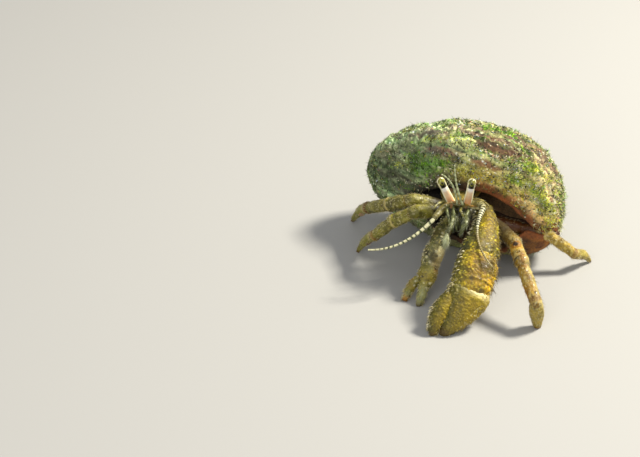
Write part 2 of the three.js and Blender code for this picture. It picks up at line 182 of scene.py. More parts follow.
def rgb(text):
    """A written colour as linear light."""
    value = np.array([int(text[i : i + 2], 16) for i in (0, 2, 4)]) / 255
    return np.where(value <= 0.04045, value / 12.92, ((value + 0.055) / 1.055) ** 2.4)


def mix(a, b, share):
    """A colour between two, each written or a value."""
    a, b = (rgb(colour) if isinstance(colour, str) else colour for colour in (a, b))
    return a + (b - a) * np.clip(np.asarray(share, float), 0, 1)[..., None]


def layers(paint, *coats):
    """The paint with more colours over it, one after the other, each with its share."""
    for colour, share in coats:
        paint = mix(paint, colour, share)
    return paint


def vivid(paint, amount, light):
    """A colour further from grey, and lighter or darker."""
    grey = np.mean(paint, axis=-1, keepdims=True)
    return np.clip((grey + (paint - grey) * amount) * light, 0.002, 1)


# ---------- grids round a line ----------


def finish_grid(points, along, closed_round=True):
    """A grid of points (rows along, columns round) with their normals."""
    if closed_round:
        d_round = np.roll(points, -1, 1) - np.roll(points, 1, 1)
    else:
        d_round = np.gradient(points, axis=1)
    d_along = np.gradient(points, axis=0)
    normal = unit(np.cross(d_along, d_round))
    return SimpleNamespace(points=points, normal=normal, along=along, closed=closed_round)


def limb_grid(shape, rings=36, sides=36, cap=6, girth=None):
    """A grid round one segment of a limb: shape holds from, to, bow, sizes and facing as in the solids.

    girth gives a factor for its thickness at each share of its length."""
    start, end = np.array(shape["from"], float), np.array(shape["to"], float)
    middle = (start + end) / 2 + 2 * np.array(shape.get("bow", (0, 0, 0)), float)
    facing = np.array(shape.get("facing", UP), float)
    phi = np.linspace(np.pi / 2, 0, cap, endpoint=False)[1:]
    s = np.concatenate([np.zeros(cap - 1), np.linspace(0, 1, rings), np.ones(cap - 1)])
    ahead = np.concatenate([-np.sin(phi), np.zeros(rings), np.sin(phi[::-1])])
    shrink = np.concatenate([np.cos(phi), np.ones(rings), np.cos(phi[::-1])])
    t = s[:, None]
    tangent = unit((1 - t) * (middle - start) + t * (end - middle))
    width, depth = smooth(shape["sizes"], s, 1) / 2, smooth(shape["sizes"], s, 2) / 2
    dome = (width + depth) / 2
    centre = (1 - t) ** 2 * start + 2 * t * (1 - t) * middle + t**2 * end
    centre = centre + tangent * (ahead * dome)[:, None]
    across = unit(np.cross(tangent, facing))
    out = np.cross(across, tangent)
    angle = np.linspace(0, 2 * np.pi, sides, endpoint=False)
    length = np.linalg.norm(end - start)
    along = np.repeat((s + ahead * dome / length)[:, None], sides, 1)
    scale = np.ones_like(along) if girth is None else girth(along)
    points = (
        centre[:, None]
        + across[:, None] * ((width * shrink)[:, None] * np.cos(angle) * scale)[..., None]
        + out[:, None] * ((depth * shrink)[:, None] * np.sin(angle) * scale)[..., None]
    )
    grid = finish_grid(points, along)
    grid.plain = points  # stays as it is when relief is added
    away = unit(points - centre[:, None])
    grid.normal *= np.sign(np.sum(grid.normal * away, -1, keepdims=True).mean())
    grid.side, grid.front, grid.high = away @ LEFT, away @ FRONT_ABOVE, away @ UP
    grid.turn, grid.length, grid.centre = np.repeat(angle[None], len(s), 0), length, centre
    pole = 1 - np.sin(phi[0])
    grid.poles = [centre[0] - tangent[0] * dome[0] * pole, centre[-1] + tangent[-1] * dome[-1] * pole]
    return grid


def cone(start, end, root, tip, bow=(0, 0, 0)):
    """The shape of a round limb that tapers from one width to another."""
    return {"from": start, "to": end, "bow": bow, "sizes": [[0, root, root], [1, tip, tip]]}


def raise_by(grid, height):
    """Moves the grid's points out along their normals, then finds the normals again."""
    grid.points = grid.points + grid.normal * np.asarray(height)[..., None]
    fresh = finish_grid(grid.points, grid.along, grid.closed).normal
    fresh *= np.sign(np.sum(fresh * grid.normal, -1, keepdims=True))
    grid.normal = fresh
    return grid


def grid_faces(rows, columns, closed=True, flip=True):
    across = columns if closed else columns - 1
    r, c = np.meshgrid(np.arange(rows - 1), np.arange(across), indexing="ij")
    r, c = r.ravel(), c.ravel()
    n = (c + 1) % columns
    quads = np.stack([r * columns + c, r * columns + n, (r + 1) * columns + n, (r + 1) * columns + c], 1)
    return quads[:, ::-1] if flip else quads


def closed_limb(grid):
    """The points of a grid with a pole at each end, and its two groups of faces: quads and triangles."""
    rows, columns = grid.points.shape[:2]
    flat = grid.points.reshape(-1, 3)
    c = np.arange(columns)
    n = (c + 1) % columns
    last = (rows - 1) * columns
    caps = np.concatenate([
        np.stack([c, n, np.full(columns, len(flat))], 1),
        np.stack([last + n, last + c, np.full(columns, len(flat) + 1)], 1),
    ])
    return np.concatenate([flat, grid.poles]), [grid_faces(rows, columns), caps]


def with_poles(values):
    """A grid's values as a flat list, with those of the first and last rows for the poles."""
    flat = values.reshape(-1, values.shape[-1]) if values.ndim == 3 else values.reshape(-1, 1)
    ends = [values[0].mean(0, keepdims=True), values[-1].mean(0, keepdims=True)]
    return np.concatenate([flat, *[e.reshape(1, -1) for e in ends]])


# ---------- meshes ----------


def to_metres(points):
    """Points in mm from the construction frame, as the flat list of metres that a mesh holds."""
    return ((np.asarray(points) - FOOTPRINT_MIDDLE) / 1000).astype(np.float32).ravel()


def new_object(name, data):
    made = bpy.data.objects.new(name, data)
    bpy.context.scene.collection.objects.link(made)
    return made


def add_mesh(name, points, faces, paint, material, nodes=(), slot=None, uv=None):
    """A piece from points in mm, groups of faces and a colour for each point, riding on the root body."""
    mesh = bpy.data.meshes.new(name)
    mesh.vertices.add(len(points))
    mesh.vertices.foreach_set("co", to_metres(points))
    corners = np.concatenate([group.ravel() for group in faces]).astype(np.int32)
    sizes = np.concatenate([np.full(len(group), group.shape[1]) for group in faces])
    mesh.loops.add(len(corners))
    mesh.loops.foreach_set("vertex_index", corners)
    mesh.polygons.add(len(sizes))
    mesh.polygons.foreach_set("loop_start", np.concatenate([[0], np.cumsum(sizes)[:-1]]).astype(np.int32))
    mesh.polygons.foreach_set("use_smooth", np.ones(len(sizes), bool))
    mesh.update(calc_edges=True)
    if uv is not None:
        mesh.uv_layers.new(name="OFBake").data.foreach_set("uv", uv.astype(np.float32).ravel())
    piece = new_object(name, mesh)
    paint_mesh(mesh, paint)
    mesh.materials.append(material)
    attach(piece, "root")
    if nodes:
        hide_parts(*nodes)
    return piece


def paint_mesh(mesh, paint):
    colour = np.ones((len(mesh.vertices), 4), np.float32)
    colour[:, :3] = np.clip(paint, 0, 1)
    mesh.attributes.new("paint", "FLOAT_COLOR", "POINT").data.foreach_set("color", colour.ravel())


def above_floor(points, lowest=0.0):
    points = points.copy()
    points[..., 2] = np.maximum(points[..., 2], lowest)
    return points


# ---------- materials ----------


BUMP_STRENGTH = 0.8
GLOSS_SPREAD = 0.12  # how far the roughness wanders either way


def make_material(name, roughness, fine, bump, speck=0.25, **sockets):
    """The painted colour, broken up at two scales, over a surface with fine relief. fine is in mm."""
    made = bpy.data.materials.new(name)
    made.use_nodes = True
    tree = made.node_tree

    def set_up(node, **settings):
        """Sets a node's inputs, named with underscores for spaces, and its own settings."""
        for key, value in settings.items():
            socket = key.replace("_", " ")
            if socket in node.inputs:
                node.inputs[socket].default_value = value
            else:
                setattr(node, key, value)
        return node

    def add(kind, **settings):
        return set_up(tree.nodes.new("ShaderNode" + kind), **settings)

    shader = set_up(tree.nodes["Principled BSDF"], Roughness=roughness, **sockets)
    place = add("TexCoord")
    paint = add("Attribute", attribute_name="paint")
    wide = add("TexNoise", Scale=1000 / (6 * fine), Detail=4.0, Roughness=0.6)
    close = add("TexVoronoi", Scale=1000 / fine)
    grain = add("TexNoise", Scale=1000 / (1.5 * fine), Detail=5.0, Roughness=0.65)
    light = add("MapRange", From_Min=0.3, From_Max=0.7, To_Min=1 - speck, To_Max=1 + speck)
    dots = add("MapRange", To_Min=1 + speck, To_Max=1 - speck)
    both = add("Math", operation="MULTIPLY")
    tinted = add("VectorMath", operation="SCALE")
    relief = add("Math", operation="SUBTRACT")
    bumped = add("Bump", Distance=bump / 1000, Strength=BUMP_STRENGTH)
    gloss = add("MapRange", To_Min=roughness - GLOSS_SPREAD, To_Max=min(roughness + GLOSS_SPREAD, 1))
    for source, output, target, socket in (
        *((place, "Object", texture, "Vector") for texture in (wide, close, grain)),
        (wide, "Fac", light, "Value"), (close, "Distance", dots, "Value"),
        (light, "Result", both, 0), (dots, "Result", both, 1),
        (paint, "Color", tinted, 0), (both, "Value", tinted, "Scale"),
        (tinted, "Vector", shader, "Base Color"),
        (grain, "Fac", relief, 0), (close, "Distance", relief, 1),
        (relief, "Value", bumped, "Height"), (bumped, "Normal", shader, "Normal"),
        (grain, "Fac", gloss, "Value"), (gloss, "Result", shader, "Roughness"),
    ):
        tree.links.new(source.outputs[output], target.inputs[socket])
    return made


MATERIALS = {
    "shell": make_material("overgrown shell", 0.8, 0.3, 0.12, speck=0.35),
    "claw": make_material("claw", 0.58, 0.22, 0.05, speck=0.22, Coat_Weight=0.05),
    "leg": make_material("leg", 0.5, 0.2, 0.04, speck=0.2, Coat_Weight=0.08),
    "carapace": make_material("carapace", 0.38, 0.3, 0.03, speck=0.18, Coat_Weight=0.2),
    "skin": make_material("soft skin", 0.45, 0.35, 0.05, speck=0.15),
    "stalk": make_material("eyestalk", 0.35, 0.2, 0.01, speck=0.06, Coat_Weight=0.2),
    "cornea": make_material("cornea", 0.12, 0.15, 0.004, speck=0.08, Coat_Weight=0.8),
    "feeler": make_material("feeler", 0.4, 0.2, 0.015, speck=0.1),
    "bristle": make_material("bristle", 0.5, 0.3, 0.01, speck=0.1),
    "algae": make_material("algae", 0.55, 0.4, 0.02, speck=0.2),
}

# ---------- coats ----------

strands = {}  # the strands of each coat piece, by name


def grow(coat, roots, directions, lengths, widths, droop, paint, tip_paint, uv):
    """Adds thin tapering strands to a coat: each leaves its root and bends by droop (a vector for each)."""
    columns = (roots, directions, lengths, widths, droop, paint, tip_paint, uv)
    strands.setdefault(coat, []).append([np.asarray(column, float) for column in columns])


STRAND_SIDES = 3
STRAND_LEVELS = ((0.0, 0.5), (0.5, 0.4))  # share of the length, and radius as a share of the width
UV_PATCH = 0.003  # the size of a strand's patch on the OFBake map
COAT_CLEARANCE = 0.02  # how far above the floor the strands stay


def build_coat(name, material, slot):
    """One mesh of all the strands of a coat, each closed, with its OFBake patch at its root's place."""
    columns = [np.concatenate(group) for group in zip(*strands[name])]
    roots, directions, lengths, widths, droop, paint, tip_paint, uv = columns
    directions = unit(directions)
    first = unit(np.cross(directions, UP + 0.01 * LEFT))
    second = np.cross(directions, first)
    rings, colours = [], []
    for share, radius in (*STRAND_LEVELS, (1.0, 0.0)):
        centre = roots + (directions * share + droop * share**2) * lengths[:, None]
        for k in range(STRAND_SIDES if radius else 1):
            angle = 2 * np.pi * k / STRAND_SIDES
            offset = (first * math.cos(angle) + second * math.sin(angle)) * (radius * widths)[:, None]
            rings.append(centre + offset)
            colours.append(paint + (tip_paint - paint) * share)
    points = above_floor(np.stack(rings, 1), COAT_CLEARANCE)
    quads, tips = [], [[2, 1, 0]]
    quad_uv, tip_uv = [], [[(0, 0), (1, 0), (0.5, 0.3)]]
    for k in range(STRAND_SIDES):
        n = (k + 1) % STRAND_SIDES
        quads.append([k, n, STRAND_SIDES + n, STRAND_SIDES + k])
        quad_uv.append([(k, 0), (k + 1, 0), (k + 1, 0.5), (k, 0.5)])
        tips.insert(k, [STRAND_SIDES + k, STRAND_SIDES + n, 2 * STRAND_SIDES])
        tip_uv.insert(k, [(k, 0.5), (k + 1, 0.5), (k + 0.5, 1)])

    def patch(corners):
        local = (np.array(corners, float) * [1 / STRAND_SIDES, 1.0] - 0.5) * UV_PATCH
        return (uv[:, None, None] + local[None]).reshape(-1, 2)

    base = (np.arange(len(roots)) * points.shape[1])[:, None, None]
    faces = [(base + np.array(group)).reshape(-1, len(group[0])) for group in (quads, tips)]
    add_mesh(
        name, points.reshape(-1, 3), faces, np.stack(colours, 1).reshape(-1, 3), material, slot=slot,
        uv=np.concatenate([patch(quad_uv), patch(tip_uv)]),
    )


def scatter(grid, count, weight=None):
    """Random places on a grid, more of them where its faces are larger and weight is higher."""
    p = grid.points
    area = np.linalg.norm(np.cross(p[1:, :-1] - p[:-1, :-1], p[:-1, 1:] - p[:-1, :-1]), axis=-1)
    chance = area if weight is None else area * np.clip(weight[:-1, :-1], 0, None)
    total = chance.sum()
    if total <= 0:
        return None
    picked = random.choice(chance.size, size=count, p=(chance / total).ravel())
    r, c = np.divmod(picked, chance.shape[1])
    u, v = random.random((2, count, 1))

    def at(values):
        values = values if values.ndim == 3 else values[..., None]
        top = values[r, c] * (1 - v) + values[r, c + 1] * v
        low = values[r + 1, c] * (1 - v) + values[r + 1, c + 1] * v
        return top * (1 - u) + low * u

    place = np.stack([(r + u[:, 0]) / p.shape[0], (c + v[:, 0]) / p.shape[1]], 1)
    place = UV_PATCH + (1 - 2 * UV_PATCH) * place
    return SimpleNamespace(points=at(p), normal=unit(at(grid.normal)), place=place, at=at, count=count)


# ---------- shell ----------

SHELL_RUN = SHELL_END - SHELL_START
SHELL_LENGTH = np.linalg.norm(SHELL_RUN)
TO_APEX = unit(-SHELL_RUN)
SHELL_UP = unit(UP - TO_APEX * TO_APEX[2])
SHELL_BACK = np.cross(TO_APEX, SHELL_UP)
COAT_DEPTH = 0.35  # how far under the solid's surface the shell lies, to leave room for its growth
WALL, LIP_WALL = 1.2, 0.7  # how thick the shell is, and how thick its lip
LIP_TAPER = 5.0  # how far in from the lip the wall reaches its full thickness
CHAMBER_START = 0.3
CHAMBER_ROUNDING = 0.16  # the stretch of stations over which the chamber opens
CHAMBER_FLOOR = 0.5  # how far above the floor the inside stays
SHADED_BELOW = (2.0, 6.5)  # heights between which the shell's belly is painted darker as painted shade, fading out going up
MOUTH_START, SHELL_STOP = MOUTH[0][0], MOUTH[-1][0]

# Bare reddish patches, then clumps of green and of yellow: [station, degrees, length along, width round].
BARE_PATCHES = [
    [0.355, 108, 4.2, 1.0], [0.54, 104, 3.4, 1.1], [0.604, 112, 4.4, 1.3], [0.64, 84, 5.0, 2.0],
    [0.709, 97, 3.6, 1.1], [0.765, 75, 3.4, 2.0], [0.432, 130, 4.0, 0.8], [0.588, 133, 3.0, 0.8],
    [0.52, 40, 3.5, 1.6], [0.66, 10, 3.0, 1.4], [0.4, 20, 2.6, 1.2],
]
GREEN_CLUMPS = [
    [0.548, 84, 1.9, 1.3], [0.604, 84, 1.5, 0.7], [0.452, 142, 1.7, 1.0], [0.693, 97, 1.8, 0.6],
    [0.737, 109, 1.7, 0.7], [0.32, 55, 2.6, 1.6], [0.6, 55, 2.4, 1.4], [0.8, 30, 2.2, 1.6],
    [0.39, 146, 2.8, 1.3], [0.69, 136, 1.6, 0.5], [0.8, 136, 1.9, 0.6], [0.72, 118, 1.3, 0.6],
]
YELLOW_CLUMPS = [
    [0.528, 144, 1.9, 0.8], [0.303, 148, 2.2, 0.7], [0.383, 119, 2.2, 0.8], [0.456, 115, 2.0, 0.8],
    [0.765, 111, 2.0, 1.0], [0.845, 139, 1.8, 1.0], [0.749, 134, 2.4, 1.0], [0.3, 90, 2.0, 1.0],
]


def axis_share(station):
    """How far along the axis a station lies: stations are closer together at both ends."""
    return (1 - np.cos(np.pi * station)) / 2


def shell_whorls(station, degrees):
    """Whorls from the last suture: above 0 on the last whorl, and a whole number at each suture."""
    lip = smooth(MOUTH, np.maximum(station, MOUTH_START), 1)
    suture = SUTURE_START * WHORL_GROWTH ** (-((lip - degrees) % 360) / 360)
    return np.log(axis_share(station) / suture) / math.log(WHORL_GROWTH)


def shell_radii(station, degrees):
    """How far the plain shell reaches behind and above its axis."""
    even = np.linspace(0, 1, 5)
    reach = {side: smooth(list(zip(even, values)), station) for side, values in SHELL_RADII.items()}
    back, up = np.cos(np.radians(degrees)), np.sin(np.radians(degrees))
    closing = np.sin(np.pi * station) ** SHELL_ROUNDNESS
    back = back * closing * np.where(back > 0, reach["behind"], reach["front"])
    up = up * closing * np.where(up > 0, reach["above"], reach["below"])
    return back, up


def shell_point(station, degrees, inwards=0.0, share=1.0):
    """A place on the plain shell, or some way in from it, or at a share of its radius."""
    back, up = shell_radii(station, degrees)
    radius = np.hypot(back, up)
    scale = share * np.maximum(radius - inwards, 0.03) / np.maximum(radius, 1e-6)
    axis = SHELL_START + SHELL_RUN * axis_share(station)[..., None]
    return axis + SHELL_BACK * (back * scale)[..., None] + SHELL_UP * (up * scale)[..., None]


def patches(station, degrees, table, gain=1.0, less=0.0):
    """How far inside any of the table's oval patches each place on the shell is, from 0 to 1."""
    radius = np.hypot(*shell_radii(station, degrees))
    best = np.zeros(np.shape(station))
    for at, turn, long, wide in table:
        along = (axis_share(station) - axis_share(at)) * SHELL_LENGTH / long
        around = np.radians((degrees - turn + 180) % 360 - 180) * radius / wide
        best = np.maximum(best, np.exp(-1.4 * (along**2 + around**2)))
    place = shell_axes(shell_point(station, degrees))
    ragged = noise(place, (1.8, 0.6, 0.6), 35) + 0.5 * noise(place, (0.7, 0.3, 0.3), 36)
    return np.clip(gain * np.clip(best * (1 + 0.8 * ragged), 0, 1) - less, 0, 1)


def shell_axes(points):
    """Points in the shell's own axes, where noise with a long first size is drawn out along the shell."""
    offset = points - SHELL_START
    return np.stack([offset @ -TO_APEX, offset @ SHELL_BACK, offset @ SHELL_UP], -1)


def near_lip(station, degrees, near, far):
    """From 1 within the near distance behind the mouth's upper lip to 0 at the far one, in mm."""
    turns = smooth(MOUTH, np.maximum(station, MOUTH_START), 1) - np.asarray(degrees, float) % 360
    behind = np.radians(turns) * np.hypot(*shell_radii(station, degrees))
    return (1 - step(near, far, behind)) * (behind > -0.3) * step(0.4, 0.58, station)


def on_callus(station, degrees):
    """1 on the smooth lobe below the mouth's narrow end, which carries no growth."""
    low = smooth(MOUTH, station, 2)
    turn = np.asarray(degrees, float) % 360
    return step(0.7, 0.74, station) * step(-2, 2, turn - low + 4) * (1 - step(236, 258, turn))


def shell_relief(points, station, degrees):
    """How far the worn, overgrown surface stands out from the plain one."""
    whorls = shell_whorls(station, degrees)
    to_suture = np.abs(whorls - np.round(whorls))
    groove = np.where(whorls < 0.5, np.exp(-to_suture / 0.055), 0)
    local = shell_axes(points)
    wear = 0.5 + 0.5 * noise(local, 4.0, 11)
    cords = np.cos(2 * np.pi * whorls * CORDS) * 0.12 * wear
    growth = np.cos(np.radians(degrees) * GROWTH_LINES + 2 * noise(local, 5.0, 12)) * 0.06
    lumps = 0.3 * noise(local, (2.6, 0.9, 0.9), 13) + 0.17 * noise(points, 0.8, 14)
    lumps = lumps + 0.2 * noise(local, (1.6, 0.45, 0.45), 18)
    crust = granules(points, 0.5, 0.2, 15) + 0.1 * noise(points, 0.35, 16)
    ends = step(0.0, 0.06, station)
    lobe = on_callus(station, degrees)
    return (cords + growth + lumps + crust) * ends * (1 - lobe) - 0.75 * groove - 0.12 + 0.25 * lobe


def shell_paint(points, station, degrees):
    """The colours of the shell and its crust, for the surface and for the growth that roots on it."""
    local = shell_axes(points)
    turn = np.asarray(degrees, float) % 360
    streak = noise(local, (2.4, 0.5, 0.5), 21)
    fine = noise(points, 0.4, 22)
    colour = layers(
        mix("968f66", "657444", 0.5 + 1.3 * streak),
        # painted shade in the hollows of the lumpy relief, from the same noise
        ("363d30", 0.8 * step(0.15, 0.5, -noise(local, (1.6, 0.45, 0.45), 18))),
        ("745a4e", 0.9 * step(0.1, 0.4, noise(local, (4.5, 0.9, 0.9), 25))),
        ("bdb083", 0.6 * np.clip(fine + 0.1, 0, 1)),
    )
    colour = colour * (1 + 0.4 * noise(local, (2.2, 0.8, 0.8), 29))[..., None]
    colour = colour * (0.4 + 0.6 * clump_shade(points))[..., None]
    apex = 1 - step(0.22, 0.46, station)
    right = step(0.64, 0.8, station) * step(62, 105, turn) * (1 - step(205, 240, turn))
    bare = mix("6a4c3e", "4c3c34", step(-0.2, 0.5, streak))
    gap, own = cells(points, 0.42, 26)
    spots = step(0.42, 0.25, gap)
    colour = layers(
        colour,
        ("5d6c3e", 0.7 * apex * (0.6 + 0.4 * streak)),
        ("c9a88c", 0.85 * right * (0.65 + 0.35 * fine)),
        (bare, 0.95 * patches(station, degrees, BARE_PATCHES, 2.2, 0.35)),
        ("688a38", 0.85 * patches(station, degrees, GREEN_CLUMPS, 2.2, 0.3) * (0.6 + 0.4 * fine)),
        ("a5a552", 0.7 * patches(station, degrees, YELLOW_CLUMPS, 1.6, 0.2) * (0.6 + 0.4 * fine)),
        ("e2d9b4", spots * (own > 0.9)),
        ("2d2c22", spots * (own < 0.13)),
        # painted shade on the shell's belly near the floor
        ("4b3f2a", 0.75 * (1 - step(*SHADED_BELOW, points[..., 2]))),
        ("8d6732", 0.55 * near_lip(station, degrees, 1.5, 5.0) * (0.8 + 0.4 * streak)),
    )
    left = 1 - step(0.3, 0.6, station)
    colour = layers(
        colour,
        (vivid(colour, 0.62, 1.0) * [0.9, 0.98, 0.93], left),
        ("4f4a3c", 0.7 * left * step(0.0, 0.4, noise(local, (3.0, 0.7, 0.7), 24))),
    )
    # Painted light and shade: light is lighter towards the apex, on the front and underside from the middle
    # on and round the right end, darker on the top and back from the middle on; under is painted shade above
    # the mouth's upper lip on the left.
    under = step(126, 160, turn) * step(200, 180, turn) * (1 - step(0.46, 0.58, station))
    light = 1.75 - 0.45 * step(0.5, 0.62, station) * step(122, 100, turn)
    light = light + 0.85 * (1 - step(0.4, 0.6, station))
    light = light + 0.7 * step(110, 130, turn) * step(0.45, 0.6, station)
    light = (light + 0.4 * step(0.66, 0.8, station) * step(70, 100, turn)) * (1 - 0.55 * under)
    colour = vivid(colour * [0.94, 1.04, 0.96], 1.2, 1.0) * np.asarray(light)[..., None]
    lip = 1.5 * mix("74401a", "2e1c10", step(-0.3, 0.4, noise(points, 0.9, 19)))
    lobe = layers(
        "97601e",
        ("663a10", step(-0.3, 0.6, noise(local, (2.5, 0.8, 0.8), 27))),
        # painted shade at the lobe's left end, where it turns into the mouth
        ("2c1a0e", 1 - step(0.74, 0.88, station)),
    )
    return layers(
        colour,
        (lip, near_lip(station, degrees, 0.2, 1.4) * (0.9 + 0.3 * fine)),
        (lobe, on_callus(station, degrees)),
    )


SHELL_MESH = (90, 170, 380)  # rows behind the mouth, rows along it and columns round the shell
FIRST_STATION = 0.012
EDGE = 1.2  # how far in from the lip its frayed edge reaches, in mm
WALL_SHARE = 0.42  # the thickest that the wall can be, as a share of the shell's radius
RIM_RINGS = 5
PILLAR_ENDS = ((0.25, 0.05), (0.94, 0.15))  # station and share of the radius below the axis
PILLAR_SIZES = [[0, 3.3, 3.3], [0.5, 2.1, 2.1], [1, 1.5, 1.5]]
PILLAR_MESH = (60, 30)


def shell_lattice():
    """Places on the shell: rows from the apex on, each running round from the upper lip to the lower."""
    rows_closed, rows_open, columns = SHELL_MESH
    stations = np.concatenate([
        np.linspace(FIRST_STATION, MOUTH_START, rows_closed),
        np.linspace(MOUTH_START, SHELL_STOP, rows_open)[1:],
    ])
    s = SimpleNamespace(rows=len(stations), columns=columns, opens=rows_closed - 1)
    s.first_inner = int(np.searchsorted(stations, CHAMBER_START + 0.004))
    s.station = np.repeat(stations[:, None], columns, 1)
    upper, lower = smooth(MOUTH, stations, 1)[:, None], smooth(MOUTH, stations, 2)[:, None] - 360
    share = np.linspace(0, 1, columns)[None]
    s.degrees = upper * (1 - share) + lower * share
    s.radius = np.hypot(*shell_radii(s.station, s.degrees))
    s.to_lip = np.minimum(upper - s.degrees, s.degrees - lower) * np.pi / 180 * s.radius
    s.arc = upper - lower
    s.is_open = (s.arc < 359.9) * 1.0  # 1 in the rows that the mouth cuts into
    return s


def add_shell_walls(s):
    """The outer face, and the inner one from the chamber's start, both as drawn and kept off the floor."""
    s.plain = shell_point(s.station, s.degrees)
    edge = 1 - step(0.0, EDGE, s.to_lip)
    relief = shell_relief(s.plain, s.station, s.degrees) * (1 - s.is_open * edge)
    relief = relief + 0.35 * noise(s.plain, 1.1, 17) * edge * s.is_open
    inset = COAT_DEPTH * step(0.1, 1.6, s.plain[..., 2]) * (1 - on_callus(s.station, s.degrees))
    s.outer = above_floor(shell_point(s.station, s.degrees, inset - relief))

    keep = np.minimum(WALL_SHARE * s.radius, WALL)
    wall = np.where(s.is_open > 0, LIP_WALL + (keep - LIP_WALL) * step(0, LIP_TAPER, s.to_lip), keep)
    wall = np.minimum(wall, WALL_SHARE * s.radius) + inset
    closing = np.sin(np.pi / 2 * np.clip((s.station - CHAMBER_START) / CHAMBER_ROUNDING, 0, 1)) ** 0.6
    hollow = np.maximum(s.radius - wall, 0.05) * closing
    s.drawn_inner = shell_point(s.station, s.degrees, s.radius - hollow)[s.first_inner :]
    s.inner = above_floor(s.drawn_inner, CHAMBER_FLOOR)


def add_shell_rim(s):
    """The rounded lip: rings of points from the outer face over to the inner one, along the mouth's edge."""
    path = [(r, 0) for r in range(s.opens, s.rows)]
    path += [(s.rows - 1, c) for c in range(1, s.columns)]
    path += [(r, s.columns - 1) for r in range(s.rows - 2, s.opens - 1, -1)]
    row, column = s.edge = np.array(path).T
    s.out_edge, in_edge = s.outer[row, column], s.inner[row - s.first_inner, column]
    behind = s.outer[np.where(row == s.rows - 1, s.rows - 2, row), np.clip(column, 1, s.columns - 2)]
    bulge = unit(s.out_edge - behind) * step(0, 12, 360 - s.arc[row, 0])[:, None]
    half = (s.out_edge - in_edge) / 2
    size = np.linalg.norm(half, axis=1, keepdims=True)
    phis = np.linspace(0, np.pi, RIM_RINGS + 2)[1:-1]
    s.rings = above_floor(np.array([
        (s.out_edge + in_edge) / 2 + half * math.cos(phi) + bulge * size * math.sin(phi) for phi in phis
    ]))


def join_shell(s):
    """The points and faces of the walls and the rim as one mesh, and which of its points are in use."""
    count, inner_count = s.outer.size // 3, s.inner.size // 3
    inner_rows = s.rows - s.first_inner
    out = np.arange(count).reshape(s.rows, s.columns)
    inside = count + np.arange(inner_count).reshape(inner_rows, s.columns)
    rings = count + inner_count + np.arange(s.rings.size // 3).reshape(s.rings.shape[:2])
    row, column = s.edge
    strips = np.concatenate([out[row, column][None], rings, inside[row - s.first_inner, column][None]])
    rim = np.stack([strips[1:, :-1], strips[1:, 1:], strips[:-1, 1:], strips[:-1, :-1]], -1).reshape(-1, 4)
    poles = np.array([s.outer[0].mean(0), s.inner[0].mean(0)])
    points = np.concatenate([*(part.reshape(-1, 3) for part in (s.outer, s.inner, s.rings)), poles])
    c, total = np.arange(s.columns - 1), len(points)
    caps = np.concatenate([
        np.stack([out[0, c], out[0, c + 1], np.full(len(c), total - 2)], 1),
        np.stack([inside[0, c + 1], inside[0, c], np.full(len(c), total - 1)], 1),
    ])
    quads = np.concatenate([
        grid_faces(s.rows, s.columns, False), count + grid_faces(inner_rows, s.columns, False, False), rim
    ])
    seam = np.arange(total)  # where the shell is closed, its last column is its first
    seam[out[: s.opens + 1, -1]] = out[: s.opens + 1, 0]
    seam[inside[: s.opens + 1 - s.first_inner, -1]] = inside[: s.opens + 1 - s.first_inner, 0]
    seam[rings[:, -1]] = rings[:, 0]
    used, packed = np.unique(seam, return_inverse=True)
    return points[used], [packed[quads], packed[caps]], used


def shell_colours(s):
    """A colour for each point of the joined shell: outside, inside, rim and poles."""
    # The lip is painted dark on the left part of the mouth, as painted shade, and orange-brown from the
    # middle on.
    lip = mix("2e2816", "7c451c", step(0.5, 0.62, s.station))
    outside = mix(
        shell_paint(s.plain, s.station, s.degrees), lip, (1 - step(0.0, 0.7, s.to_lip)) * s.is_open
    )
    to_lip = s.to_lip[s.first_inner :]
    inside = layers(
        lip[s.first_inner :],
        ("74482a", step(0.3, 2.0, to_lip + 0.6 * noise(s.drawn_inner, 0.9, 23))),
        ("a8845a", step(2.0, 6, to_lip)),
        # painted shade deep in the left part of the chamber
        ("1f1a12", 1 - step(0.46, 0.6, s.station[s.first_inner :])),
    )
    rim = lip[s.edge[0], s.edge[1]]
    rim = mix(rim, 1.4 * rim, 0.3 + 0.5 * noise(s.out_edge, 0.7, 24))
    rim = np.repeat(rim[None], len(s.rings), 0)
    return np.concatenate([
        *(part.reshape(-1, 3) for part in (outside, inside, rim)), outside[0, :1], inside[0, :1]
    ])


def build_shell():
    """The shell as one closed mesh, with the pillar in its mouth. Returns its outside as a grid."""
    s = shell_lattice()
    add_shell_walls(s)
    add_shell_rim(s)
    points, faces, used = join_shell(s)
    start, end = (shell_point(np.array(at), np.array(270.0), share=out) for at, out in PILLAR_ENDS)
    pillar = limb_grid({"from": start, "to": end, "bow": [0, 0, -0.8], "sizes": PILLAR_SIZES}, *PILLAR_MESH)
    pillar = raise_by(pillar, 0.12 * np.cos(pillar.turn * 2 + pillar.along * 25))
    pillar_points, pillar_faces = closed_limb(pillar)
    # painted shade on the pillar, darkest towards the apex, warm brown towards the mouth's right end
    pillar_paint = mix("1f1a12", "4a2c18", step(-2, 9, pillar_points[:, 0]))
    add_mesh(
        "shell_body", np.concatenate([points, pillar_points]),
        [*faces, *[f + len(points) for f in pillar_faces]],
        np.concatenate([shell_colours(s)[used], pillar_paint]),
        MATERIALS["shell"], nodes=["shell"], slot="shell",
    )
    grid = finish_grid(s.outer, s.station, False)
    away = s.outer - (SHELL_START + SHELL_RUN * axis_share(s.station)[..., None])
    grid.normal *= np.sign(np.sum(grid.normal * away, -1, keepdims=True))
    grid.station, grid.degrees = s.station, s.degrees
    return grid


TURF, TURF_PIECES = 42000, 3  # strands of turf, and the pieces that they are split into
TUFTS, TUFT_STRANDS, TUFT_SPREAD = 3600, 5, 0.1  # tufts, the strands in each and how far apart they root
FILAMENTS, GRAINS = 7000, 4200


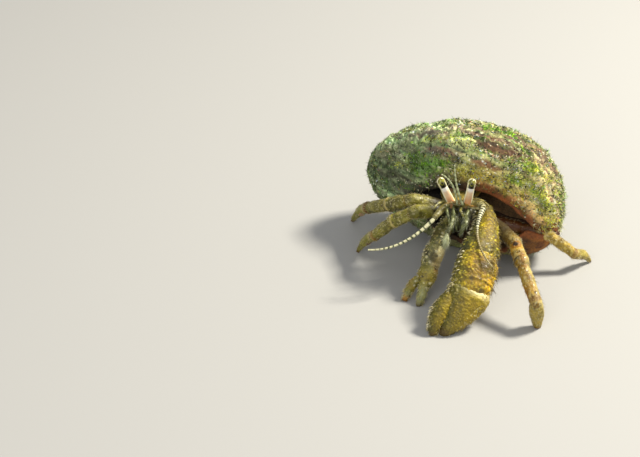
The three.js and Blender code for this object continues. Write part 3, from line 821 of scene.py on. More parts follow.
def algae_tone(colour):
    return vivid(colour, 1.2, 1.35)


def clump_shade(points):
    """Lighter and darker clumps of growth, drawn out along the whorls."""
    wide = 0.8 * noise(shell_axes(points), (1.3, 0.5, 0.5), 33) + 0.5 * noise(points, 0.45, 34)
    return np.clip(1 + wide, 0.25, 1.9)


def shell_roots(grid, count, weight):
    """Roots on the shell, with what grows there: shares of green, yellow and so on, and the shade, with
    painted light in it.
    """
    s = scatter(grid, count, weight)
    s.station, s.degrees = s.at(grid.station)[:, 0], s.at(grid.degrees)[:, 0]
    turn = s.degrees % 360
    s.green = patches(s.station, s.degrees, GREEN_CLUMPS, 2.2, 0.1)
    s.yellow = patches(s.station, s.degrees, YELLOW_CLUMPS, 1.6)
    s.right = step(0.62, 0.8, s.station) * step(70, 112, turn) * (1 - step(205, 240, turn))
    s.apex = 1 - step(0.22, 0.5, s.station)
    s.brown = near_lip(s.station, s.degrees, 1.5, 5.5)
    # low is painted shade on growth near the floor
    s.low = 1 - step(*SHADED_BELOW, s.points[:, 2])
    s.base = shell_paint(s.points, s.station, s.degrees)
    # lit is painted light on the front from the middle on; s.right adds painted light on the right end, and
    # the shade is darker near the lip
    lit = 0.5 * step(110, 130, turn) * step(200, 180, turn) * step(0.45, 0.6, s.station)
    s.shade = clump_shade(s.points) * (1 + lit + 0.6 * s.right)
    s.shade = s.shade * (1 - 0.45 * near_lip(s.station, s.degrees, 0.3, 1.8))
    return s


def repeat_roots(s, times, spread):
    """The same roots, each repeated as a small group."""
    group = {k: np.repeat(v, times, 0) for k, v in vars(s).items() if isinstance(v, np.ndarray)}
    more = SimpleNamespace(**group, count=s.count * times)
    away = random.normal(scale=spread, size=more.points.shape)
    more.points = more.points + away - more.normal * np.sum(away * more.normal, 1, keepdims=True)
    return more


def lying(s, swept):
    """A random way along the surface for each root, swept away from the apex."""
    return unit(np.cross(s.normal, random.normal(size=s.points.shape))) - swept * TO_APEX


def grow_turf(grid, weight):
    for k in range(TURF_PIECES):
        s = shell_roots(grid, TURF // TURF_PIECES, weight)
        chance = random.random((4, s.count))
        tone = layers(
            mix("7c8a4e", "55683a", chance[0]),
            ("74983a", s.green * (0.6 + 0.4 * chance[1])),
            ("b4a572", s.yellow * chance[2]),
            ("c2a67c", s.right * chance[2]),
            ("a8864a", 0.7 * s.brown * chance[2]),
            # painted shade on turf near the floor
            ("4a4329", 0.7 * s.low),
        )
        bright = (0.4 + 1.3 * chance[3] ** 1.5) * s.shade
        paint = mix(s.base, algae_tone(tone), 0.55 + 0.35 * s.green) * bright[:, None]
        wander = random.normal(size=(s.count, 3))
        grow(
            f"shell_turf_{k + 1}", s.points - s.normal * 0.04, s.normal + 0.8 * wander,
            0.16 + 0.2 * chance[1], 0.05 + 0.03 * chance[0], -0.3 * s.normal + 0.2 * wander,
            paint * 0.75, paint * 1.2, s.place,
        )


def grow_tufts(grid, weight):
    s = shell_roots(grid, TUFTS, weight)
    kind, bright = random.random((2, s.count))
    tone = layers(
        mix("6c8a3a", "4c6a30", kind),
        ("7cac3a", s.green * (kind < 0.92)),
        ("b9bd50", np.maximum(s.yellow * (kind < 0.8), s.right * (kind < 0.72))),
        ("d8c8a4", s.right * (kind > 0.86)),
        ("dcd8bc", (kind > 0.9) * (1 - s.right) * (1 - s.apex) * (1 - s.green)),
        ("4f5440", s.apex * (kind > 0.3) * 0.9),
        ("b08f4c", 0.6 * s.brown * (kind > 0.3)),
        ("33301e", 0.8 * (kind < 0.12)),
    )
    s.tone = algae_tone(tone) * ((0.25 + 2.0 * bright**2) * s.shade)[:, None]
    s.lie = lying(s, 0.7)
    s = repeat_roots(s, TUFT_STRANDS, TUFT_SPREAD)
    chance = random.random((2, s.count))
    wander = random.normal(scale=0.35, size=(s.count, 3))
    grow(
        "shell_tufts", s.points - s.normal * 0.05, 0.55 * s.normal + s.lie + wander, 0.35 + 0.5 * chance[0],
        0.06 + 0.05 * chance[1], -0.3 * s.normal + 0.5 * wander, s.tone * 0.6,
        s.tone * (0.9 + 0.5 * chance[1])[:, None], s.place,
    )


def grow_filaments(grid, weight):
    s = shell_roots(grid, FILAMENTS, weight)
    kind, bright, long = random.random((3, s.count))
    tone = layers(
        mix("a8b858", "e2dc9a", kind),
        ("3c3a22", kind < 0.25),
        ("7fae3c", s.green * (bright > 0.4)),
    ) * (0.6 + 0.7 * bright)[:, None]
    lie = lying(s, 0.6) + 0.35 * s.normal
    grow(
        "shell_filaments", s.points - 0.03 * s.normal, lie, 0.45 + 0.7 * long**2, np.full(s.count, 0.06),
        0.3 * random.normal(size=(s.count, 3)) - 0.1 * s.normal, tone * 0.7, tone, s.place,
    )


def stick_grains(grid, weight):
    s = shell_roots(grid, GRAINS, weight)
    kind, bright, long = random.random((3, s.count))
    tone = np.tile(rgb("e4dcb8"), (s.count, 1))
    for above, colour in ((0.34, "2a281f"), (0.6, "bcae58"), (0.82, "a9785c"), (0.92, "b8c4c6")):
        tone = np.where((kind >= above)[:, None], rgb(colour), tone)
    tone = tone * (0.7 + 0.45 * bright)[:, None]
    grow(
        "shell_grains", s.points + 0.02 * s.normal, 0.4 * s.normal + lying(s, 0.8), 0.2 + 0.4 * long**2,
        0.13 + 0.12 * bright, 0 * s.normal, tone, tone, s.place,
    )


def clothe_shell(grid):
    """Turf, tufts, filaments and stuck grains over the shell, all in the shell's own colours."""
    station, degrees, height = grid.station, grid.degrees, grid.points[..., 2]
    exposed = step(0.5, 2.0, height) * (1 - on_callus(station, degrees))
    bare = patches(station, degrees, BARE_PATCHES, 1.9, 0.1)
    green = patches(station, degrees, GREEN_CLUMPS)
    thick = step(-0.35, 0.35, noise(shell_axes(grid.points), (3.2, 0.6, 0.6), 31))
    grow_turf(grid, exposed * (0.1 + thick) * (1 - 0.9 * bare))
    clump = (0.04 + thick) * (1 - 0.93 * bare) * exposed
    clump = clump + 2.2 * exposed * green + 1.6 * exposed * patches(station, degrees, YELLOW_CLUMPS)
    clump = clump * (1 + 0.4 * step(0.62, 0.8, station)) * step(1.0, 4.0, height)
    grow_tufts(grid, clump)
    grow_filaments(grid, clump * (0.3 + step(0.5, 0.8, station)))
    sandy = exposed * (0.25 + step(0.3, 0.5, station)) * (0.2 + thick) * step(3.0, 6.0, height)
    sandy = sandy * (1 - 0.7 * bare) * (1 + 2.5 * step(105, 135, degrees % 360) * step(0.5, 0.6, station))
    sandy = sandy * (1 - 0.8 * np.clip(2 * green, 0, 1)) * (1 - 0.75 * near_lip(station, degrees, 1.0, 4.0))
    stick_grains(grid, sandy)


# ---------- limbs ----------

ATLAS = 8  # cells along each side of the limbs' shared unwrap
atlas_cells = itertools.count()


def bristle(coat, grid, count, length, lean, weight=None, colours=("b09a5a", "e8dcae"), width=0.055):
    """Bristles over a limb segment, leaning towards its tip."""
    s = scatter(grid, count, weight)
    if s is None:
        return
    forward = unit(np.gradient(grid.centre, axis=0))[:, None] * np.ones((1, grid.points.shape[1], 1))
    tilt = s.at(forward)
    low, high = length
    lengths = low + (high - low) * random.random(count) ** 1.5
    jitter = random.normal(scale=0.22, size=(count, 3))
    shade = mix(np.tile(rgb(colours[0]), (count, 1)), rgb(colours[1]), random.random(count))
    uv = (np.array([grid.cell % ATLAS, grid.cell // ATLAS]) + 0.02 + 0.96 * s.place) / ATLAS
    grow(coat, s.points - 0.04 * s.normal, s.normal + lean * tilt + jitter, lengths,
         np.full(count, width), 0.35 * tilt - 0.1 * UP, shade * 0.8, shade, uv)


def plate_paint(grid, base, dark, pale, seed=0):
    """The mottled colour of a hard plate."""
    p = grid.points
    colour = layers(
        base,
        (dark, 0.85 * step(-0.2, 0.5, noise(p, 1.1, 41 + seed))),
        (pale, 0.65 * step(0.0, 0.6, noise(p, 0.5, 42 + seed))),
    )
    return colour * (1 + 0.3 * noise(p, 0.35, 40 + seed))[..., None]


def ring(grid, at, width):
    """1 in a ragged ring round a limb, at a share of its length."""
    wave = 0.25 * width * noise(grid.points, 0.5, 43)
    return step(1.0, 0.3, np.abs(grid.along - at + wave) / width)


def specks(grid, size, amount, seed=0):
    """1 in scattered round specks: amount is the share of the cells that hold one."""
    gap, own = cells(grid.points, size, 50 + seed)
    return step(0.36, 0.2, gap) * (own < amount)


def grains(grid, dark, pale, size=0.3, seed=0):
    """Two layers of fine pale and dark grains."""
    gap, own = cells(grid.points, size, 90 + seed)
    spot = step(0.5, 0.22, gap)
    return (pale, 0.75 * spot * (own > 0.74)), (dark, 0.75 * spot * (own < 0.24))


def narrow_neck(along):
    return (1 - 0.2 * hump(along, -0.06, 0.12)) * (1 + 0.07 * hump(along, 0.95, 0.05))


def open_root(along):
    return 1 + 0.06 * hump(along, 0.95, 0.05)


# How far each hard material's colours are pushed from grey, and how light they are.
TONES = {"claw": (1.4, 0.7), "leg": (1.3, 0.78), "carapace": (1.2, 0.8)}


def add_limb_piece(name, grid, paint, material, slot):
    """The visible piece of one solid, named after it."""
    points, faces = closed_limb(grid)
    paint = vivid(paint, *TONES.get(material, (1, 1)))
    add_mesh(name + "_shown", above_floor(points), faces, with_poles(paint), MATERIALS[material],
             nodes=[name], slot=slot)


# The right legs' colours are darker, more olive copies of the left legs': painted shade.
LEG_COLOURS = {
    "leg2_left": ("ae9252", "7c6030", "d8c48c"),
    "leg3_left": ("ac9450", "826c34", "cfbf7e"),
    "leg2_right": ("86803f", "646030", "aea668"),
    "leg3_right": ("807a3c", "5f5a2e", "a8a064"),
}
SPOTTED_LEG = "leg2_left"
EYESPOT = np.array([6.35, -5.75, 9.95])  # a dark spot on that leg's carpus
# How far along each leg the shell's shade reaches, in segments, and its colour.
SHADE_REACH = {"leg3_left": (1.7, "5e331c"), "leg2_left": (0.9, "2f2515")}


def leg_paint(limb, part, i, grid):
    """The leg's colours, and how far each place is in the shell's shade."""
    p, along = grid.plain, grid.along
    paint = plate_paint(grid, *LEG_COLOURS[limb], seed=i)
    jointed = part in ("carpus", "propodus")
    if jointed:
        share = (0.5 if part == "carpus" else 0.2) * (1 if "left" in limb else 0.5)
        paint = layers(
            paint,
            ("8a6030", share * ring(grid, 0.1, 0.12)),
            ("3a2814", 0.9 * hump(along, 0.85, 0.3) * specks(grid, 0.75, 0.5, i)),
            ("ddc98e", 0.6 * ring(grid, 0.98, 0.07)),
        )
    paint = layers(
        paint, ("4a3a1c", 0.7 * specks(grid, 0.6, 0.12, 3 + i)), *grains(grid, "43381a", "e6dcae", 0.28, i)
    )
    if jointed and limb == SPOTTED_LEG:
        rust = step(0.0, 0.6, noise(p, (1.6, 2.4, 2.4), 33 + i)) * step(0.9, 0.2, grid.side)
        paint = layers(paint, ("9a6a2a", 0.75 * rust), ("d6cc92", 0.4 * step(0.3, 0.9, grid.side)))
    if part == "propodus":
        paint = layers(paint, ("7a5528", 0.7 * ring(grid, 0.93, 0.1)))
    if part == "dactyl":
        paint = layers(
            paint,
            ("d8c590", 0.5 * ring(grid, 0.08, 0.1)),
            ("a8a45c", 0.3),
            ("6b4a20", step(0.88, 1.05, along)),
        )
    reach, shade = SHADE_REACH.get(limb, (0.5, "2f2515"))
    reach = reach - i if i < 2 else -9
    shaded = step(reach + 0.25, reach - 0.2, along)
    paint = layers(paint, (shade, 0.93 * shaded))
    if part == "carpus" and limb == SPOTTED_LEG:
        spot = np.linalg.norm((p - EYESPOT) / 0.75, axis=-1) + 0.1 * noise(p, 0.4, 57)
        paint = layers(
            paint,
            ("1c140a", 0.9 * hump(along, 0.95, 0.07) * step(-0.1, 0.6, -grid.side)),
            ("d8b468", 0.7 * step(2.0, 1.5, spot)),
            ("8f6026", 0.85 * step(1.35, 0.95, spot)),
            ("20140a", 0.95 * step(0.75, 0.4, spot)),
        )
    return paint, shaded


def build_leg(limb):
    joints, widths = JOINTS[limb], LEG_WIDTHS[limb]
    coat = "bristles_" + limb.split("_")[1] + "_legs"
    for i, (part, (start, mid, end)) in enumerate(LEG_PARTS.items()):
        w = widths[i]
        sizes = [[0, start * w, start * w], [0.5, mid * w, mid * w], [1, end * w, end * w]]
        shape = {"from": joints[i], "to": joints[i + 1], "sizes": sizes}
        if part == "dactyl":
            shape["bow"] = [0, 0, 0.5]
            if limb == SPOTTED_LEG:
                shape["sizes"] = [[0, w, w], [0.55, 1.32 * w, 1.2 * w], [1, 0.7 * w, 0.65 * w]]
        grid = limb_grid(shape, *LEG_MESH, girth=narrow_neck if i else open_root)
        p = grid.points
        relief = 0.07 * noise(p, 0.8, 44 + i) + granules(p, 0.3, 0.08, 45)
        relief = relief + 0.09 * hump(grid.high, 1, 0.35) * granules(p, 0.5, 1.0, 49)
        if part == "dactyl":
            relief = relief - 0.06 * np.abs(np.sin(grid.turn * 2)) * step(0.1, 0.4, grid.along)
        grid = raise_by(grid, relief)
        grid.cell = next(atlas_cells)
        paint, shaded = leg_paint(limb, part, i, grid)
        add_limb_piece(f"{limb}_{part}", grid, paint, "leg", "legs")
        top = (0.25 + step(0.0, 0.9, grid.high) + step(0.0, 0.9, -grid.high)) * (1.01 - shaded)
        bristle(coat, grid, 170, (0.18, 0.5), 0.9, top)
        if limb == SPOTTED_LEG and part != "dactyl":
            dark = step(0.3, 0.9, np.abs(grid.side)) * (0.2 + step(0.6, 0.95, grid.along)) * (1.01 - shaded)
            bristle(coat, grid, 60, (0.35, 0.8), 0.7, dark, ("241c10", "86713c"), 0.05)


# The plates' colours, the mesh's rings, sides and cap rings, how far apart the granules are, how many
# teeth line the fingers (in radians) and each segment's sizes as in the solids.
CLAWS = {
    "big_claw": {
        "colours": ("a98b34", "776225", "cfb55e"), "mesh": (130, 140, 26), "granule": 0.42, "teeth": 44,
        "segments": {
            "merus": {"sizes": [[0, 2.6, 3.0], [0.5, 3.7, 3.8], [1, 5.3, 4.3]], "bow": [0.5, 0, 0.2]},
            "carpus": {"sizes": [[0, 4.8, 4.2], [0.5, 6.0, 4.8], [1, 5.6, 4.4]]},
            "hand": {"bow": [0.45, 0, 0],
                     "sizes": [[0, 5.2, 4.0], [0.25, 6.2, 4.3], [0.6, 4.6, 3.4], [0.85, 2.9, 2.3],
                               [1, 1.5, 1.4]]},
            "finger": {"from": [-2.75, -11.1, 4.9], "to": [-5.85, -14.3, 0.4], "bow": [-0.4, -0.1, 0.3],
                       "sizes": [[0, 2.2, 2.6], [0.45, 2.5, 2.5], [0.8, 1.9, 1.8], [1, 1.0, 1.1]]},
        },
    },
    "small_claw": {
        "colours": ("7c7748", "54552f", "aaa274"), "mesh": (80, 72, 12), "granule": 0.32, "teeth": 30,
        "segments": {
            "merus": {"sizes": [[0, 1.7, 1.9], [0.5, 2.2, 2.2], [1, 2.3, 2.2]]},
            "carpus": {"sizes": [[0, 2.1, 2.0], [0.5, 2.8, 2.4], [1, 2.6, 2.3]]},
            "hand": {"bow": [0.1, 0, 0.2],
                     "sizes": [[0, 2.2, 2.0], [0.28, 2.9, 2.3], [0.5, 2.2, 1.7], [0.62, 1.4, 1.3],
                               [0.85, 1.2, 1.1], [1, 0.8, 0.8]]},
            "finger": {"from": [-7.5, -4.2, 3.1], "to": [-9.4, -5.2, 0.25], "bow": [-0.2, 0, 0.15],
                       "sizes": [[0, 1.3, 1.3], [0.5, 1.3, 1.2], [1, 0.7, 0.7]]},
        },
    },
}


def big_claw_ground(part, i, grid, paint, tops):
    """Gold and brown on the arm, olive on the hand."""
    if part in ("hand", "finger"):
        # olive, darker on the crab's right side and lighter on its left: painted shade and painted light
        olive = mix("625f2c", "9c8a3c", step(-0.7, 0.7, grid.side))
        return layers(paint, (olive, 0.7), ("4c4a26", 0.6 * step(0.55, 1.0, grid.along)))
    warm = hump(grid.along, 0.6, 0.4) * hump(grid.side, 0.3, 0.5)
    return layers(
        paint * ([0.4, 0.45, 0.2] if part == "merus" else [1.0, 1.06, 0.55]),
        # brighter on the granules' tops: painted highlight
        (rgb("a8862a") * (0.6 + 0.6 * tops)[..., None], 0.6 * warm),
        ("5c3c16", 0.85 * warm * specks(grid, 0.6, 0.5, 6 + i)),
        ("3f3818", 0.7 * specks(grid, 0.7, 0.3, 26 + i)),
    )


def small_claw_ground(part, i, grid, paint):
    """Grey-green with tan and orange edges."""
    p, along, side = grid.plain, grid.along, grid.side
    if part == "carpus":
        tan = step(-0.25, 0.4, side) * step(0.15, 0.4, along) * (0.8 + 0.4 * noise(p, 0.7, 60))
        paint = layers(
            paint,
            ("8f8a62", 0.5),
            # painted highlight as pale patches on the crab's left side, painted shade as dark ones on its
            # right
            ("f0e8bc", 0.9 * step(0.0, 0.4, noise(p, 0.9, 58)) * step(-0.2, 0.5, side)),
            ("2c2a18", 0.8 * step(0.1, 0.4, noise(p, 0.8, 59)) * step(0.3, -0.3, side)),
            ("beaa80", 0.75 * tan),
        )
    if part in ("hand", "finger"):
        edge = step(0.35, 0.85, side if part == "hand" else -side)
        paint = layers(
            layers(paint, ("8a8450", 0.6)) * (1.1 + 0.5 * noise(p, 0.9, 59))[..., None],
            ("a9a980", 0.7 * step(0.55, 0.7, along)),
            ("a8734a", 0.5 * edge * hump(along, 0.16, 0.12)),
            ("988240", 0.5 * hump(along, 0.38, 0.16)),
        )
    return layers(
        paint,
        ("e0d9b6", 0.9 * specks(grid, 0.8, 0.4, 14 + i)),
        ("2f2a18", 0.8 * specks(grid, 0.9, 0.4, 17 + i)),
    )


def claw_paint(limb, part, i, grid, tops, margin, band):
    big, arm = limb == "big_claw", part in ("merus", "carpus")
    p, along, side = grid.plain, grid.along, grid.side
    contrast = 0.7 if arm else 0.3
    paint = plate_paint(grid, *CLAWS[limb]["colours"], seed=5 + i)
    # paler on the granules' tops and darker between them: painted highlight and painted shade
    paint = paint * (1 - 0.4 * contrast + contrast * tops)[..., None]
    # painted shade: dark olive over the crab's right side of each claw segment
    paint = layers(paint, ("4f5628", 0.7 * step(0.2, 0.9, -side)))
    if big:
        paint = big_claw_ground(part, i, grid, paint, tops)
    else:
        paint = small_claw_ground(part, i, grid, paint)
    paint = layers(paint, ("e6d9ae", 0.8 * margin * specks(grid, 0.45 if big else 0.4, 0.5, 7 + i)))
    if arm:
        pale = "c2a650" if big and part == "merus" else "e0d092"
        paint = layers(paint, *grains(grid, "4c3f1c", pale, 0.34 if big else 0.28, 4 + i))
        blotch = noise(p, (1.6, 2.2, 2.2), 36)
        paint = layers(paint * (1 + 0.45 * blotch)[..., None], ("4a401c", 0.7 * step(0.25, 0.6, -blotch)))
    else:
        paint = layers(paint, *grains(grid, "4c421e", "b3a45a", 0.26, 4 + i))
    # the band: pale joint membrane with a painted highlight over it
    paint = mix(paint, np.array([1.4, 1.26, 0.8]), band * np.ones(along.shape))
    if big and part == "merus":
        lift = 1 + 0.7 * hump(side, -0.25, 0.4) * step(0.2, 0.5, along)
        paint = paint * [0.84, 0.92, 0.5] * lift[..., None]
    if big and part == "carpus":
        paint = paint * [1.06, 1.04, 0.72]
    # painted highlight along the crab's left side of the big arm
    if big and arm:
        paint = paint * (1 + step(0.6, 0.9, side)[..., None] * [0.5, 0.44, 0.1])
    if limb == "small_claw" and part == "finger":
        paint = layers(paint, ("b87a3c", 0.7 * step(0.7, 1.0, along)))
    return layers(paint, ("4a3218", 0.0 if arm else 0.6 * step(0.92, 1.05, along)))


def claw_bristles(big, part, grid):
    """Soft bristles on the edges, blunt teeth along the inner margin and long dark ones on the big arm."""
    side, along, front = grid.side, grid.along, grid.front
    edge = step(0.5, 0.95, side) + 0.6 * step(0.5, 0.95, -side)
    teeth = step(0.75, 0.95, -side) * step(0.0, 0.15, along) * step(1.0, 0.9, along)
    teeth = teeth * step(-0.1, 0.1, front) * step(0.75, 0.5, front)
    rim = step(0.8, 0.97, side) * step(0.2, 0.5, along)
    arm = part in ("merus", "carpus")
    soft = ("6a5a26", "e4d48e") if arm else ("5a4e22", "c0ae66")
    blunt = ("b5a868", "f0e6bf")
    if big:
        rows = [(300, (0.2, 0.5), 0.7, edge), (26, (0.35, 0.65), 0.4, teeth, blunt, 0.26)]
    else:
        rows = [(160, (0.2, 0.5), 0.7, edge), (12, (0.3, 0.45), 0.4, teeth, blunt, 0.2)]
    if big and arm:
        rows += [(80, (0.5, 1.1), 0.5, rim, ("2a2210", "a08a48"), 0.07)]
        rows += [(60, (0.4, 0.9), 0.5, teeth, ("2a2412", "b9ad74"), 0.06)]
    for row in (*rows, (240 if big else 140, (0.1, 0.26), 0.7, None, soft, 0.045)):
        bristle("bristles_claws", grid, *row)


def build_claw(limb):
    claw, joints = CLAWS[limb], JOINTS[limb]
    big, size = limb == "big_claw", CLAWS[limb]["granule"]
    for i, (part, segment) in enumerate(claw["segments"].items()):
        shape = {"facing": FRONT_ABOVE, **segment}
        if part != "finger":
            shape.update({"from": joints[i], "to": joints[i + 1]})
        grid = limb_grid(shape, *claw["mesh"], girth=narrow_neck if i else open_root)
        p, along, side = grid.points, grid.along, grid.side
        margin = step(0.45, 0.8, np.abs(side))
        band = 0.0
        if big and part == "hand":
            # band: a pale band round the hand's base where it faces front, partly the pale joint membrane,
            # partly a painted highlight
            band = step(-0.9, 0.2, side) * step(-0.1, 0.5, grid.front)
            band = band * hump(along + 0.03 * noise(p, 1.4, 43), 0.07, 0.11)
        tops = granules(p, size, 1.0, 46 + i) * (1 - band)
        relief = (0.12 if big else 0.07) * tops + 0.05 * noise(p, 1.0, 47)
        relief = relief + margin * granules(p, 1.5 * size, 0.22 if big else 0.12, 48 + i)
        if part in ("hand", "finger"):
            inner = np.clip(-side if part == "hand" else side, 0, 1) ** 4
            teeth = 0.5 + 0.5 * np.cos(along * claw["teeth"])
            relief = relief + 0.16 * inner * teeth * step(0.45, 0.6, along)
        grid = raise_by(grid, relief)
        grid.cell = next(atlas_cells)
        paint = claw_paint(limb, part, i, grid, tops, margin, band)
        add_limb_piece(f"{limb}_{part}", grid, paint, "claw", limb)
        claw_bristles(big, part, grid)


# ---------- body ----------

SHIELD = {"from": [-1.4, 2.7, 12.05], "to": [-0.6, 6.6, 11.1],
          "sizes": [[0, 3.4, 1.3], [0.4, 4.7, 1.7], [1, 4.0, 1.5]]}
THORAX = {"from": [-1.3, 3.0, 10.3], "to": [-0.4, 7.4, 9.1],
          "sizes": [[0, 4.2, 3.0], [0.4, 5.2, 3.7], [1, 4.2, 3.6]]}
ABDOMEN = [
    {"from": [-0.6, 8.9, 9.9], "to": [-2.6, 13.4, 13.2], "bow": [0.4, -0.1, 0.7],
     "sizes": [[0, 3.8, 3.8], [0.5, 4.6, 4.4], [1, 4.4, 4.2]]},
    {"from": [-2.6, 13.4, 13.2], "to": [-6.4, 15.4, 11.6], "bow": [-0.3, 0.2, 0.5],
     "sizes": [[0, 4.4, 4.2], [0.5, 3.6, 3.4], [1, 1.8, 1.8]]},
]
GRIPPING_LEGS = {
    "leg4_right": {"from": [-2.6, 6.8, 8.6], "to": [-4.7, 9.4, 8.2], "bow": [-0.5, -0.2, 0], "width": 0.9},
    "leg4_left": {"from": [2.0, 7.2, 7.9], "to": [4.4, 7.0, 6.2], "bow": [0.3, 0.2, 0.3], "width": 0.9},
    "leg5_right": {"from": [-1.9, 8.9, 8.2], "to": [-3.2, 11.2, 9.4], "bow": [-0.4, 0, 0], "width": 0.7},
    "leg5_left": {"from": [1.6, 8.4, 10.2], "to": [2.6, 10.8, 11.2], "bow": [0.3, 0, 0], "width": 0.7},
}
WAIST = {"from": [-0.4, 7.0, 9.4], "to": [-0.6, 9.0, 9.9], "sizes": [[0, 3.6, 3.4], [1, 3.5, 3.5]]}
SKIN_VOXEL = 0.16
CORE = 0.72  # thickness of the flesh inside the limbs, as a share of theirs
CORE_MESH = (14, 20, 5)
FOLD_DEPTH, FOLD_SPACING = 0.05, 0.9  # of the folds across the abdomen


def limb_cores():
    """The flesh that shows in the joints: a thinner line through all the segments of each limb."""
    for limb, joints in JOINTS.items():
        if limb in CLAWS:
            widths = [row["sizes"][0][1] for row in list(CLAWS[limb]["segments"].values())[:3]]
            widths[0] *= 0.8
        else:
            widths = [LEG_PARTS[part][0] * w for part, w in zip(LEG_PARTS, LEG_WIDTHS[limb])]
        body = [joints[0][0] * 0.35, joints[0][1] + 0.6, joints[0][2] - 0.2]
        coxa = 1.25 * widths[0]
        yield cone(body, joints[0], coxa, widths[0])
        for i, w in enumerate(widths):
            start, end = np.array(joints[i]), np.array(joints[i + 1])
            stop = end if i + 1 < len(widths) else start + 0.4 * (end - start)
            yield cone(start, stop, CORE * w, CORE * w)


def join_grids(grids):
    """The points and the faces of several closed grids as one mesh."""
    points, faces, base = [], [], 0
    for grid in grids:
        flat, groups = closed_limb(grid)
        points.append(flat)
        faces += [group + base for group in groups]
        base += len(flat)
    return np.concatenate(points), faces


def read_vertices(mesh, key):
    values = np.zeros(len(mesh.vertices) * 3, np.float32)
    mesh.vertices.foreach_get(key, values)
    return values.reshape(-1, 3).astype(float)


def skin_paint(place):
    """Dark in the joints of the limbs, pale and fleshy over the abdomen."""
    y = place[:, 1]
    return layers(
        "35311d",
        ("a57a4e", step(5.0, 9.5, y)),
        ("6d6a44", 0.6 * step(0.1, 0.6, noise(place, 0.7, 60)) * (1 - step(3, 6, y))),
        ("c29a70", 0.5 * step(-0.2, 0.6, noise(place, 1.2, 61)) * step(8, 10, y)),
        ("7c4a26", 0.5 * step(3.4, 5.0, np.abs(place[:, 0] + 1)) * (1 - step(5, 9, y))),
    )


def build_skin():
    """One skin over the thorax, the abdomen and the flesh in the limbs."""
    shapes = [THORAX, *ABDOMEN, *limb_cores(), WAIST]
    points, faces = join_grids(limb_grid(shape, *CORE_MESH) for shape in shapes)
    draft = add_mesh("skin_draft", points, faces, np.ones((len(points), 3)), MATERIALS["skin"])
    remesh = draft.modifiers.new("whole", "REMESH")
    remesh.mode = "VOXEL"
    remesh.voxel_size = SKIN_VOXEL / 1000
    soften = draft.modifiers.new("soften", "SMOOTH")
    soften.iterations = 4
    soften.factor = 0.5
    graph = bpy.context.evaluated_depsgraph_get()
    mesh = bpy.data.meshes.new_from_object(draft.evaluated_get(graph))
    bpy.data.objects.remove(draft)
    mesh.name = "skin"
    for polygon in mesh.polygons:
        polygon.use_smooth = True
    place = read_vertices(mesh, "co") * 1000 + FOOTPRINT_MIDDLE
    fold = FOLD_DEPTH * np.cos(2 * np.pi * (place[:, 1] * 0.8 + place[:, 2] * 0.6) / FOLD_SPACING)
    place = place + read_vertices(mesh, "normal") * (fold * step(8.5, 9.5, place[:, 1]))[:, None]
    place = above_floor(place)
    mesh.vertices.foreach_set("co", to_metres(place))
    if "paint" in mesh.attributes:
        mesh.attributes.remove(mesh.attributes["paint"])
    paint_mesh(mesh, skin_paint(place))
    mesh.materials.clear()
    mesh.materials.append(MATERIALS["skin"])
    skin = new_object("skin", mesh)
    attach(skin, "root")
    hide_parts("thorax", "abdomen_front", "abdomen_rear")


def build_shield():
    grid = limb_grid(SHIELD, 60, 64, cap=14)
    p, along = grid.plain, grid.along
    groove = hump(along, 0.72 + 0.12 * np.abs(grid.side), 0.05) * step(0, 0.5, grid.high)
    midline = hump(grid.side, 0, 0.1) * step(0.2, 0.6, grid.high) * step(0.3, 0.9, along)
    relief = 0.04 * noise(p, 0.9, 62) - 0.12 * groove - 0.05 * midline + 0.05 * hump(along, 0.0, 0.08)
    grid = raise_by(grid, relief)
    paint = layers(
        plate_paint(grid, "8f8048", "57522c", "bba866", seed=9),
        # painted shade in the groove
        ("43391c", 0.6 * groove),
        ("c2a35a", 0.5 * hump(along, -0.02, 0.1)),
    )
    add_limb_piece("shield", grid, paint, "carapace", "carapace")
    grid.cell = next(atlas_cells)
    bristle("bristles_face", grid, 260, (0.15, 0.45), 0.2, step(0.5, 0.95, np.abs(grid.side)))


def build_gripping_legs():
    for name, shape in GRIPPING_LEGS.items():
        w = shape["width"]
        shape = {**shape, "sizes": [[0, w, w], [0.75, 0.75 * w, 0.8 * w], [1, 0.7 * w, 0.7 * w]]}
        grid = limb_grid(shape, 30, 24)
        grid = raise_by(grid, granules(grid.points, 0.25, 0.03, 63))
        add_limb_piece(name, grid, plate_paint(grid, "b59a58", "7d6d3c", "d9c88c", seed=10), "leg", "legs")
        grid.cell = next(atlas_cells)
        bristle("bristles_face", grid, 60, (0.12, 0.3), 0.8)


# ---------- eyes ----------

EYES = {
    "right": {"from": [-2.4, 2.5, 12.0], "to": [-4.25, 1.65, 16.3]},
    "left": {"from": [-0.2, 2.3, 12.1], "to": [0.3, 1.45, 16.25]},
}
EYE_SIZES = [[0, 1.4, 1.3], [0.35, 1.26, 1.15], [0.7, 1.16, 1.1], [1, 1.16, 1.14]]
CORNEA_START = 0.8


def part_of(shape, sizes, low, high):
    """The stretch of a straight limb between two shares of its length, seen from the front and above."""
    start, end = np.array(shape["from"]), np.array(shape["to"])
    rows = []
    for k in (0, 0.33, 0.66, 1):
        rows.append([k, *(float(smooth(sizes, low + k * (high - low), column)) for column in (1, 2))])
    return {"from": start + low * (end - start), "to": start + high * (end - start), "sizes": rows,
            "facing": FRONT_ABOVE}


